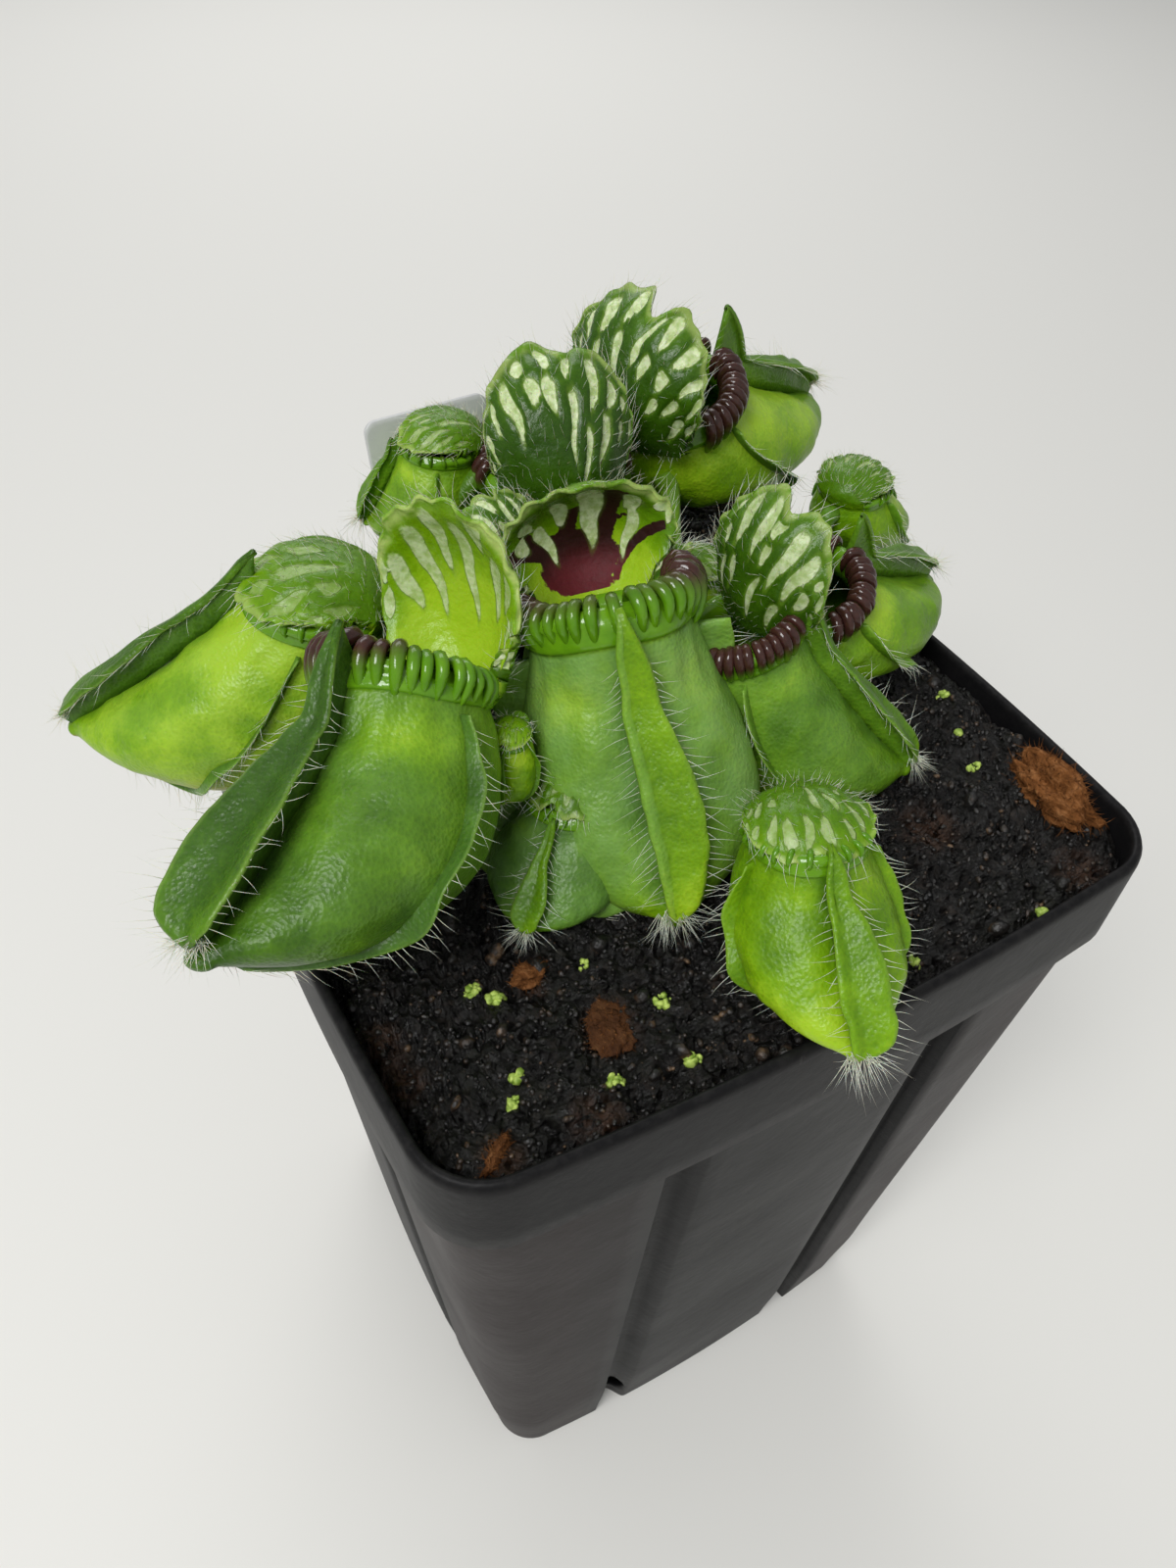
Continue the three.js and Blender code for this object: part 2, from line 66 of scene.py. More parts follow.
class Term:  # a node's socket that takes part in Python sums: each sum adds a Math node
    def __init__(self, nodes, socket):
        self.nodes = nodes
        self.socket = socket

    def sum(self, operation, first, second):
        return self.nodes.node("ShaderNodeMath", {"operation": operation}, {0: first, 1: second})

    def __add__(self, other):
        return self.sum("ADD", self, other)

    __radd__ = __add__

    def __sub__(self, other):
        return self.sum("SUBTRACT", self, other)

    def __rsub__(self, other):
        return self.sum("SUBTRACT", other, self)

    def __mul__(self, other):
        return self.sum("MULTIPLY", self, other)

    __rmul__ = __mul__

    def __pow__(self, other):
        return self.sum("POWER", self, other)


class Nodes:  # adds nodes to one tree, of a material or of Geometry Nodes
    def __init__(self, tree):
        self.tree = tree

    def node(self, kind, settings=None, values=None, output=0):
        made = self.tree.nodes.new(kind)
        for name, value in (settings or {}).items():
            if name == "stops":
                for index, (place, colour) in enumerate(value):
                    elements = made.color_ramp.elements
                    stop = elements[index] if index < 2 else elements.new(place)
                    stop.position = place
                    stop.color = (*colour, 1)
            else:
                setattr(made, name, value)
        for key, value in (values or {}).items():
            if isinstance(value, Term):
                self.tree.links.new(value.socket, made.inputs[key])
            else:
                made.inputs[key].default_value = value
        return Term(self, made.outputs[output]) if made.outputs else None

    def vector(self, operation, first, second):
        return self.node("ShaderNodeVectorMath", {"operation": operation}, {0: first, 1: second})

    def scaled(self, vector, factor):
        return self.node("ShaderNodeVectorMath", {"operation": "SCALE"}, {0: vector, 3: factor})


class Finish(Nodes):  # one material, whose patterns read the piece's own coordinates and attributes
    def __init__(self, name, colour):
        self.material = bpy.data.materials.new(name)
        self.material.use_nodes = True
        self.material.diffuse_color = (*colour, 1)
        super().__init__(self.material.node_tree)
        self.tree.nodes.clear()
        self.place = self.node("ShaderNodeTexCoord", output=3)

    def value(self, name):  # a number stored on the mesh's points
        return self.node("ShaderNodeAttribute", {"attribute_name": name}, output=2)

    def noise(self, size, detail=3.0, rough=0.5, place=None):  # size in metres
        values = {"Vector": place or self.place, "Scale": 1 / size, "Detail": detail, "Roughness": rough}
        return self.node("ShaderNodeTexNoise", None, values)

    def cells(self, size):  # size in metres
        return self.node("ShaderNodeTexVoronoi", None, {"Vector": self.place, "Scale": 1 / size})

    def ramp(self, value, *stops):
        return self.node("ShaderNodeValToRGB", {"stops": stops}, {0: value})

    def blend(self, factor, first, second):  # a mix of two colours
        first, second = [(*c, 1) if isinstance(c, tuple) else c for c in (first, second)]
        return self.node("ShaderNodeMix", {"data_type": "RGBA"}, {0: factor, 6: first, 7: second}, 2)

    def step(self, value, low, high):  # 0 below low, 1 above high and smooth between them
        settings = {"interpolation_type": "SMOOTHSTEP"}
        return self.node("ShaderNodeMapRange", settings, {0: value, 1: low, 2: high, 3: 0.0, 4: 1.0})

    def relief(self, *heights):  # each a pair: a socket from 0 to 1, and its height in metres
        normal = None
        for height, depth in heights:
            values = {"Height": height, "Distance": depth, "Strength": 1.0}
            if normal:
                values["Normal"] = normal
            normal = self.node("ShaderNodeBump", None, values)
        return normal

    def close(self, **sockets):  # the surface shader; in the sockets' names _ stands for a space
        values = {name.replace("_", " "): value for name, value in sockets.items()}
        for name, value in values.items():
            if isinstance(value, tuple) and "Color" in name:
                values[name] = (*value, 1)
        surface = self.node("ShaderNodeBsdfPrincipled", None, values)
        self.node("ShaderNodeOutputMaterial", None, {"Surface": surface})
        return self.material


class Growth(Nodes):  # a Geometry Nodes tree with named inputs; grow runs it and keeps a plain mesh
    def __init__(self, name, **inputs):
        tree = bpy.data.node_groups.new(name, "GeometryNodeTree")
        super().__init__(tree)
        tree.interface.new_socket("Geometry", in_out="INPUT", socket_type="NodeSocketGeometry")
        for label, value in inputs.items():
            kind = "NodeSocketInt" if isinstance(value, int) else "NodeSocketFloat"
            tree.interface.new_socket(label, in_out="INPUT", socket_type=kind).default_value = value
        tree.interface.new_socket("Geometry", in_out="OUTPUT", socket_type="NodeSocketGeometry")
        self.entry = tree.nodes.new("NodeGroupInput")

    def given(self, label):
        return Term(self, self.entry.outputs[label])

    def stored(self, name, kind="FLOAT"):  # a value stored on the points that the tree is given
        return self.node("GeometryNodeInputNamedAttribute", {"data_type": kind}, {"Name": name})

    def chance(self, low, high, shift):  # a random number for each point
        values = {2: low, 3: high, 8: self.given("Seed") + shift}
        return self.node("FunctionNodeRandomValue", {"data_type": "FLOAT"}, values, 1)

    def chances(self, low, high, shift):  # a random vector for each point
        values = {0: (low,) * 3, 1: (high,) * 3, 8: self.given("Seed") + shift}
        return self.node("FunctionNodeRandomValue", {"data_type": "FLOAT_VECTOR"}, values)

    def end(self, geometry, material):
        whole = self.node("GeometryNodeRealizeInstances", None, {"Geometry": geometry})
        smoothed = self.node("GeometryNodeSetShadeSmooth", None, {"Geometry": whole})
        painted = self.node("GeometryNodeSetMaterial", None, {"Geometry": smoothed, "Material": material})
        outlet = self.tree.nodes.new("NodeGroupOutput")
        self.tree.links.new(painted.socket, outlet.inputs[0])

    def grow(self, name, source, **sizes):
        modifier = source.modifiers.new("growth", "NODES")
        modifier.node_group = self.tree
        for item in self.tree.interface.items_tree:
            if item.in_out == "INPUT" and item.name in sizes:
                modifier[item.identifier] = sizes[item.name]
        shown = source.evaluated_get(bpy.context.evaluated_depsgraph_get())
        mesh = bpy.data.meshes.new_from_object(shown)
        mesh.name = name
        bpy.data.objects.remove(source)
        piece = bpy.data.objects.new(name, mesh)
        bpy.context.scene.collection.objects.link(piece)
        return piece


# Shapes

def smooth(x):
    x = np.clip(x, 0, 1)
    return x * x * (3 - 2 * x)


def hump(x, middle, width):  # 1 at the middle and near 0 two widths away
    return np.exp(-((x - middle) / width) ** 2)


def through(values, t):  # smooth curve through values given at 0, 1, 2 and so on
    values = np.asarray(values, float).reshape(len(values), -1)
    t = np.asarray(t, float)
    i = np.clip(np.floor(t).astype(int), 0, len(values) - 2)
    s = (t - i)[..., None]
    p = np.concatenate([2 * values[:1] - values[1:2], values, 2 * values[-1:] - values[-2:-1]])
    a, b, c, d = p[i], p[i + 1], p[i + 2], p[i + 3]
    cubic = 3 * b - a - 3 * c + d
    found = 0.5 * (2 * b + (c - a) * s + (2 * a - 5 * b + 4 * c - d) * s**2 + cubic * s**3)
    return found[..., 0] if found.shape[-1] == 1 else found


hashing = {
    "axes": (73856093, 19349663, 83492791), "seed": 7919,
    "rounds": ((15, 2246822519), (13, 3266489917)),
}


def grain(points, seed):  # smooth random values from 0 to 1, one cell for each unit
    cell = np.floor(points).astype(np.int64)
    part = smooth(points - cell)
    total = np.zeros(points.shape[:-1])
    for corner in np.ndindex(2, 2, 2):
        a, b, c = np.moveaxis((cell + np.array(corner)) * hashing["axes"], -1, 0)
        mixed = (a ^ b ^ c ^ (seed * hashing["seed"])) & 0xFFFFFFFF
        for shift, factor in hashing["rounds"]:
            mixed = ((mixed ^ (mixed >> shift)) * factor) & 0xFFFFFFFF
        value = ((mixed ^ (mixed >> 16)) & 65535) / 65535
        total += value * np.prod(np.where(np.array(corner) == 1, part, 1 - part), axis=-1)
    return total


def rough(points, size, seed, layers=3):  # noise of several sizes together, about 0
    return sum(0.5**k * (grain(points / size * 2**k, seed + k) - 0.5) for k in range(layers))


def unit(v):
    return v / np.maximum(np.linalg.norm(v, axis=-1, keepdims=True), 1e-9)


def turned(points, degrees, axis):
    return points @ np.array(Matrix.Rotation(math.radians(degrees), 3, axis)).T


def gridNormals(grid, closed=False):  # closed joins the last column to the first
    if closed:
        across = np.roll(grid, -1, 1) - np.roll(grid, 1, 1)
    else:
        across = np.gradient(grid, axis=1)
    return unit(np.cross(across, np.gradient(grid, axis=0)))


def onlyPiece(name, mesh):  # an object for a mesh, put into the scene
    made = bpy.data.objects.new(name, mesh)
    bpy.context.scene.collection.objects.link(made)
    return made


class Skin:  # surfaces and the values of their points, gathered into one mesh
    def __init__(self):
        self.points = []
        self.faces = []
        self.paints = []
        self.values = {}
        self.count = 0

    def add(self, points, faces, paint=0, **values):
        points = np.asarray(points, float).reshape(-1, 3)
        for name in set(self.values) | set(values):
            given = np.broadcast_to(np.asarray(values.get(name, 0.0), float), (len(points),))
            self.values.setdefault(name, [np.zeros(self.count)]).append(given)
        self.points.append(points)
        for face in faces:
            self.faces.extend((np.asarray(face) + self.count).tolist())
            self.paints.extend([paint] * len(face))
        self.count += len(points)

    def grid(self, grid, closed=False, paint=0, ends=(False, False), **values):
        rows, columns = grid.shape[:2]
        i, j = np.meshgrid(np.arange(rows - 1), np.arange(columns - (not closed)), indexing="ij")
        k = (j + 1) % columns
        quads = np.stack([i * columns + j, i * columns + k, (i + 1) * columns + k, (i + 1) * columns + j], -1)
        points = grid.reshape(-1, 3)
        flat = {name: np.broadcast_to(value, (rows, columns)).ravel() for name, value in values.items()}
        faces = [quads.reshape(-1, 4)]
        for end in (0, 1):
            if not ends[end]:
                continue
            start = 0 if end == 0 else (rows - 1) * columns
            ring = start + np.arange(columns)
            points = np.concatenate([points, grid[-end].mean(0)[None]])
            flat = {name: np.append(value, value[start]) for name, value in flat.items()}
            middle = np.full(columns, len(points) - 1)
            after = np.roll(ring, -1)
            faces.append(np.stack([middle, after, ring] if end == 0 else [middle, ring, after], -1))
        self.add(points, faces, paint, **flat)

    def plate(self, top, bottom, paint=0, over=None, under=None):  # a thin closed plate between two grids
        rows, columns = top.shape[:2]
        i, j = np.meshgrid(np.arange(rows - 1), np.arange(columns - 1), indexing="ij")
        a = i * columns + j
        upper = np.stack([a, a + 1, a + columns + 1, a + columns], -1).reshape(-1, 4)
        lower = upper[:, ::-1] + rows * columns
        last = (rows - 1) * columns
        edge = np.concatenate([
            np.arange(columns),
            np.arange(1, rows) * columns + columns - 1,
            last + np.arange(columns - 1)[::-1],
            (np.arange(1, rows - 1) * columns)[::-1],
        ])
        after = np.roll(edge, -1)
        side = np.stack([after, edge, edge + rows * columns, after + rows * columns], -1)
        over = over or {}
        under = under or over
        values = {}
        for name in set(over) | set(under):
            pair = [np.broadcast_to(v.get(name, 0.0), (rows, columns)).ravel() for v in (over, under)]
            values[name] = np.concatenate(pair)
        both = np.concatenate([top.reshape(-1, 3), bottom.reshape(-1, 3)])
        self.add(both, [upper, lower, side], paint, **values)

    def piece(self, name, materials, matrix=None):
        points = np.concatenate(self.points)
        if matrix is not None:
            points = points @ matrix[:3, :3].T + matrix[:3, 3]
        made = bpy.data.meshes.new(name)
        made.from_pydata((points * mm).tolist(), [], self.faces)
        for material in materials:
            made.materials.append(material)
        made.polygons.foreach_set("material_index", self.paints)
        for label, parts in self.values.items():
            layer = made.attributes.new(label, "FLOAT", "POINT")
            layer.data.foreach_set("value", np.concatenate(parts).astype(np.float32))
        work = bmesh.new()
        work.from_mesh(made)
        bmesh.ops.recalc_face_normals(work, faces=work.faces)
        work.to_mesh(made)
        work.free()
        made.polygons.foreach_set("use_smooth", [True] * len(made.polygons))
        made.update()
        return onlyPiece(name, made)


class Lines:  # lines with a direction, a reach and other values at each point, for things that grow on them
    def __init__(self):
        self.points = []
        self.edges = []
        self.values = {}
        self.vectors = {}
        self.count = 0

    def add(self, points, vectors=None, **values):
        points = np.asarray(points, float)
        size = len(points)
        self.points.append(points)
        self.edges.extend([(self.count + i, self.count + i + 1) for i in range(size - 1)])
        for name, value in values.items():
            self.values.setdefault(name, []).append(np.broadcast_to(value, (size,)))
        for name, value in (vectors or {}).items():
            self.vectors.setdefault(name, []).append(np.broadcast_to(value, (size, 3)))
        self.count += size

    def piece(self, name):
        made = bpy.data.meshes.new(name)
        made.from_pydata((np.concatenate(self.points) * mm).tolist(), self.edges, [])
        for label, parts in self.values.items():
            layer = made.attributes.new(label, "FLOAT", "POINT")
            layer.data.foreach_set("value", np.concatenate(parts).astype(np.float32))
        for label, parts in self.vectors.items():
            layer = made.attributes.new(label, "FLOAT_VECTOR", "POINT")
            layer.data.foreach_set("vector", np.concatenate(parts).astype(np.float32).ravel())
        return onlyPiece(name, made)


def tidy(piece, replaced):  # the closing calls for one finished piece
    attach(piece, "root")
    if replaced:
        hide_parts(*replaced)
    return piece


# Camera, lights and floor

def makeStudio():
    eye = bpy.data.objects.new("camera", bpy.data.cameras.new("camera"))
    eye.data.lens = camera["lens"]
    eye.data.sensor_width = camera["sensor"]
    eye.data.clip_start = 0.01
    look = Vector(camera["look"]).normalized()
    right = look.cross(Vector(camera["up"])).normalized()
    up = right.cross(look)
    columns = zip(right, up, -look, camera["place"])
    eye.matrix_world = Matrix([*columns, (0, 0, 0, 1)])
    bpy.context.scene.collection.objects.link(eye)
    bpy.context.scene.camera = eye
    for name, wanted in studio["lamps"].items():
        lamp = bpy.data.objects.new(name, bpy.data.lights.new(name, "AREA"))
        lamp.data.shape = "SQUARE"
        lamp.data.size = wanted["size"]
        lamp.data.energy = wanted["watts"]
        lamp.location = wanted["at"]
        aim = Vector(wanted["aim"]) - Vector(wanted["at"])
        lamp.rotation_euler = aim.to_track_quat("-Z", "Y").to_euler()
        bpy.context.scene.collection.objects.link(lamp)
    world = bpy.data.worlds.new("sky")
    world.use_nodes = True
    background = world.node_tree.nodes["Background"]
    background.inputs["Color"].default_value = (*studio["skyColour"], 1)
    background.inputs["Strength"].default_value = studio["sky"]
    bpy.context.scene.world = world
    bpy.context.scene.view_settings.view_transform = "Standard"
    half = studio["floorSize"] / 2
    corners = [(-half, -half, 0), (half, -half, 0), (half, half, 0), (-half, half, 0)]
    ground = bpy.data.meshes.new("floor")
    ground.from_pydata(corners, [], [(0, 1, 2, 3)])
    paper = Finish("floorPaper", studio["floor"]).close(Base_Color=studio["floor"], Roughness=0.9)
    ground.materials.append(paper)
    onlyPiece("floor", ground)


makeStudio()
print("studio ready")

# Finishes: sizes of patterns and heights of relief in metres, colours as linear red, green and blue.

plasticLook = {
    "dark": (0.0040, 0.0038, 0.0043), "light": (0.0095, 0.0092, 0.0095), "warm": (0.022, 0.012, 0.012),
    "dust": (0.09, 0.085, 0.08), "cloud": 0.022, "grain": 0.0011, "speck": 0.0022, "scratch": 0.0009,
    "scratchStretch": (1.0, 1.0, 0.16), "edgeWear": 0.0016, "cloudHeight": 0.0006, "grainHeight": 0.00005,
}


def makePotPlastic():
    look = plasticLook
    paint = Finish("potPlastic", look["dark"])
    cloudy = paint.noise(look["cloud"], 4)
    fine = paint.noise(look["grain"], 5, 0.7)
    speck = paint.step(paint.noise(look["speck"], 6, 0.8), 0.66, 0.74) * paint.step(cloudy, 0.48, 0.62)
    stretched = paint.vector("MULTIPLY", paint.place, look["scratchStretch"])
    scratches = paint.step(paint.noise(look["scratch"], 3, 0.6, stretched), 0.71, 0.75)
    scratch = scratches * paint.step(cloudy, 0.45, 0.6)
    edge = paint.value("worn") * paint.step(paint.noise(look["edgeWear"], 5, 0.8), 0.42, 0.62)
    colour = paint.blend(cloudy, look["dark"], look["light"])
    colour = paint.blend(paint.value("warmth") * 0.6, colour, look["warm"])
    colour = paint.blend(speck * 0.22 + scratch * 0.16 + edge * 0.32, colour, look["dust"])
    gloss = 0.34 + cloudy * 0.16 + speck * 0.25 + fine * 0.06
    bump = paint.relief((cloudy, look["cloudHeight"]), (fine, look["grainHeight"]))
    return paint.close(Base_Color=colour, Roughness=gloss, Normal=bump, Specular_IOR_Level=0.12)


peatLook = {
    "patch": 0.013, "crumb": 0.0016, "cell": 0.0011, "crumbHeight": 0.0018, "cellHeight": 0.0008,
    "crumbColours": [(0.30, (0.002, 0.002, 0.002)), (0.54, (0.008, 0.007, 0.006)),
                     (0.68, (0.022, 0.014, 0.009)), (0.84, (0.085, 0.048, 0.025))],
    "algae": (0.012, 0.018, 0.008), "brown": (0.075, 0.032, 0.014), "shine": 0.42,
    "grainPatch": 0.0023, "grainFine": 0.0004, "grainHeight": 0.0002,
    "grainColours": [(0.36, (0.003, 0.003, 0.003)), (0.52, (0.010, 0.008, 0.006)),
                     (0.61, (0.034, 0.020, 0.011)), (0.72, (0.17, 0.105, 0.055))],
}


def makePeatFinish():
    look = peatLook
    paint = Finish("wetPeat", (0.013, 0.010, 0.008))
    patch = paint.noise(look["patch"], 4, 0.6)
    crumb = paint.noise(look["crumb"], 6, 0.75)
    cell = paint.cells(look["cell"])
    colour = paint.ramp(crumb, *look["crumbColours"])
    algae = paint.step(patch, 0.50, 0.66) * paint.step(crumb, 0.40, 0.62)
    colour = paint.blend(algae * 0.35, colour, look["algae"])
    brown = paint.value("brown") * paint.step(crumb, 0.36, 0.60)
    colour = paint.blend(brown * 0.7, colour, look["brown"])
    gloss = 0.15 + paint.step(crumb, 0.35, 0.75) * 0.45 + patch * 0.18
    bump = paint.relief((crumb, look["crumbHeight"]), (cell, look["cellHeight"]))
    return paint.close(Base_Color=colour, Roughness=gloss, Normal=bump, Specular_IOR_Level=look["shine"])


def makeGrainFinish():
    paint = Finish("peatGrain", (0.02, 0.014, 0.009))
    shade = paint.noise(peatLook["grainPatch"], 3, 0.6)
    fine = paint.noise(peatLook["grainFine"], 3)
    colour = paint.ramp(shade, *peatLook["grainColours"])
    bump = paint.relief((fine, peatLook["grainHeight"]))
    return paint.close(Base_Color=colour, Roughness=0.26 + fine * 0.4, Normal=bump)


mossLook = {"size": 0.0008, "height": 0.0002, "dark": (0.16, 0.27, 0.02), "light": (0.52, 0.66, 0.14)}


def makeMossFinish():
    paint = Finish("moss", (0.35, 0.50, 0.06))
    shade = paint.noise(mossLook["size"], 3)
    colour = paint.ramp(shade, (0.35, mossLook["dark"]), (0.65, mossLook["light"]))
    return paint.close(Base_Color=colour, Roughness=0.6, Normal=paint.relief((shade, mossLook["height"])))


barkLook = {
    "shade": 0.0017, "fibre": 0.0006, "fibreStretch": (1.0, 0.3, 1.0), "shadeHeight": 0.0008,
    "fibreHeight": 0.0003, "soaked": (0.040, 0.018, 0.010),
    "colours": [(0.32, (0.045, 0.015, 0.004)), (0.50, (0.21, 0.078, 0.022)), (0.68, (0.46, 0.21, 0.080))],
}


def makeBarkFinish():
    look = barkLook
    paint = Finish("barkFibre", (0.17, 0.08, 0.03))
    shade = paint.noise(look["shade"], 6, 0.75)
    fibre = paint.noise(look["fibre"], 4, 0.6, paint.vector("MULTIPLY", paint.place, look["fibreStretch"]))
    colour = paint.ramp(shade * 0.6 + fibre * 0.4, *look["colours"])
    colour = paint.blend(paint.value("dark"), colour, look["soaked"])
    bump = paint.relief((shade, look["shadeHeight"]), (fibre, look["fibreHeight"]))
    return paint.close(Base_Color=colour, Roughness=0.82, Normal=bump, Specular_IOR_Level=0.1)


labelLook = {
    "dust": 0.006, "fine": 0.0005, "height": 0.00002, "dull": (0.46, 0.47, 0.47), "clean": (0.62, 0.62, 0.61),
}


def makeLabelFinish():
    paint = Finish("labelPlastic", (0.5, 0.5, 0.5))
    dust = paint.noise(labelLook["dust"], 5, 0.7)
    fine = paint.noise(labelLook["fine"], 3)
    colour = paint.blend(dust, labelLook["dull"], labelLook["clean"])
    bump = paint.relief((fine, labelLook["height"]))
    return paint.close(Base_Color=colour, Roughness=0.38 + fine * 0.12, Normal=bump)


# From deep to yellow green: the leaves' and the lids' colour by their tone.
greens = [
    (0.00, (0.009, 0.032, 0.002)), (0.30, (0.036, 0.100, 0.003)), (0.55, (0.088, 0.205, 0.003)),
    (0.78, (0.175, 0.345, 0.003)), (1.00, (0.330, 0.520, 0.016)),
]
leafLook = {
    "patch": 0.011, "soft": 0.0048, "mottle": 0.0011, "pore": 0.00042,
    # the bloom colour is a pale blue-green waxy bloom with a painted sheen over it
    "heights": (0.00026, 0.00010, 0.00006), "bloom": (0.180, 0.340, 0.115), "orange": (0.33, 0.155, 0.012),
    "edge": (0.26, 0.42, 0.07),
    "shine": {"Specular_IOR_Level": 0.30, "Subsurface_Weight": 0.12, "Subsurface_Radius": (0.35, 1.0, 0.12),
              "Subsurface_Scale": 0.0016},
}


def makeLeafFinish():
    look = leafLook
    paint = Finish("leafSkin", (0.12, 0.27, 0.03))
    soft = paint.noise(look["soft"], 3, 0.55)
    mottle = paint.noise(look["mottle"], 4, 0.6)
    pore = paint.cells(look["pore"])
    patch = paint.noise(look["patch"], 2)
    shade = paint.value("tone") + (patch - 0.5) * 0.40 + (soft - 0.5) * 0.36
    colour = paint.ramp(shade + (mottle - 0.5) * 0.24 + (pore - 0.3) * 0.10, *greens)
    # The bloom is the waxy bloom with a painted sheen: pale blue-green over the lobes, patchy with the soft
    # noise.
    sheenAmount = paint.value("bloom") * (0.45 + paint.step(soft, 0.35, 0.65) * 0.55)
    colour = paint.blend(sheenAmount * 0.60, colour, look["bloom"])
    colour = paint.blend(paint.value("warm") * paint.step(mottle, 0.2, 0.6), colour, look["orange"])
    colour = paint.blend(paint.value("edge") * 0.6, colour, look["edge"])
    gloss = 0.37 - paint.value("gloss") * 0.14 + (mottle - 0.5) * 0.20
    bump = paint.relief(*zip((soft, mottle, pore), look["heights"]))
    return paint.close(Base_Color=colour, Roughness=gloss, Normal=bump, **look["shine"])


lidLook = {
    "soft": 0.0040, "mottle": 0.0009, "heights": (0.00035, 0.00014, 0.00012),
    "wineDark": (0.022, 0.003, 0.002), "wine": (0.125, 0.010, 0.016), "lime": (0.17, 0.31, 0.02),
    "creamDark": (0.36, 0.48, 0.16), "cream": (0.66, 0.74, 0.46),
    "rimPale": (0.44, 0.55, 0.16), "rimGreen": (0.17, 0.33, 0.02),
    "shine": {"Specular_IOR_Level": 0.28, "Subsurface_Weight": 0.15, "Subsurface_Radius": (0.35, 1.0, 0.12),
              "Subsurface_Scale": 0.0014},
}


def makeLidFinish():
    look = lidLook
    paint = Finish("lidSkin", (0.10, 0.22, 0.03))
    soft = paint.noise(look["soft"], 3, 0.55)
    mottle = paint.noise(look["mottle"], 4, 0.6)
    colour = paint.ramp(paint.value("tone") + (soft - 0.5) * 0.28 + (mottle - 0.5) * 0.20, *greens)
    ragged = (mottle - 0.5) * 0.9 + (soft - 0.5) * 0.5
    maroon = paint.step(paint.value("maroon") + ragged, -0.06, 0.10)
    velvet = paint.value("velvet") * (0.55 + mottle * 0.6)
    colour = paint.blend(maroon, colour, paint.blend(velvet, look["wineDark"], look["wine"]))
    window = paint.step(paint.value("window") + ragged * 0.45, -0.12, 0.22)
    halo = paint.step(paint.value("window") + ragged * 0.4, -0.75, 0.0)
    colour = paint.blend(halo * (1 - maroon * 0.6) * 0.45, colour, look["lime"])
    cream = paint.blend(paint.step(mottle, 0.3, 0.7), look["creamDark"], look["cream"])
    colour = paint.blend(window * paint.value("clear"), colour, cream)
    rim = paint.blend(paint.step(soft, 0.5, 0.6), look["rimPale"], look["rimGreen"])
    colour = paint.blend(paint.value("rim") * 0.85, colour, rim)
    gloss = 0.27 + (mottle - 0.5) * 0.16 + maroon * 0.36
    bump = paint.relief(*zip((soft, mottle, window), look["heights"]))
    return paint.close(Base_Color=colour, Roughness=gloss, Normal=bump, **look["shine"])


lipLook = {
    "soft": 0.0030, "mottle": 0.0007, "heights": (0.00025, 0.00004),
    "greens": [(0.0, (0.010, 0.060, 0.003)), (0.5, (0.040, 0.150, 0.003)), (1.0, (0.15, 0.34, 0.008))],
    "brownDark": (0.022, 0.008, 0.006), "brown": (0.075, 0.028, 0.020),
    "shine": {"Specular_IOR_Level": 0.45, "Subsurface_Weight": 0.10, "Subsurface_Radius": (0.5, 1.0, 0.15),
              "Subsurface_Scale": 0.001},
}


def makeLipFinish():
    look = lipLook
    paint = Finish("lipGloss", (0.05, 0.13, 0.01))
    soft = paint.noise(look["soft"], 3)
    mottle = paint.noise(look["mottle"], 3)
    green = paint.ramp(paint.value("tone") + (soft - 0.5) * 0.5, *look["greens"])
    brown = paint.blend(mottle, look["brownDark"], look["brown"])
    colour = paint.blend(paint.step(paint.value("tint") + (soft - 0.5) * 0.4, 0.25, 0.85), green, brown)
    gloss = 0.10 + mottle * 0.12
    bump = paint.relief(*zip((soft, mottle), look["heights"]))
    return paint.close(Base_Color=colour, Roughness=gloss, Normal=bump, **look["shine"])


hairLook = {"size": 0.0035, "straw": (0.62, 0.58, 0.40), "white": (0.92, 0.92, 0.82)}


def makeHairFinish():
    paint = Finish("hairStraw", (0.7, 0.68, 0.5))
    colour = paint.blend(paint.noise(hairLook["size"], 2), hairLook["straw"], hairLook["white"])
    return paint.close(Base_Color=colour, Roughness=0.45, Subsurface_Weight=0.2, Subsurface_Scale=0.0004)


potPlastic = makePotPlastic()
wetPeat = makePeatFinish()
peatGrain = makeGrainFinish()
mossGreen = makeMossFinish()
barkFibre = makeBarkFinish()
labelPlastic = makeLabelFinish()
leafSkin = makeLeafFinish()
lidSkin = makeLidFinish()
lipGloss = makeLipFinish()
hairStraw = makeHairFinish()
print("finishes ready")


# Things that grow along lines or over surfaces

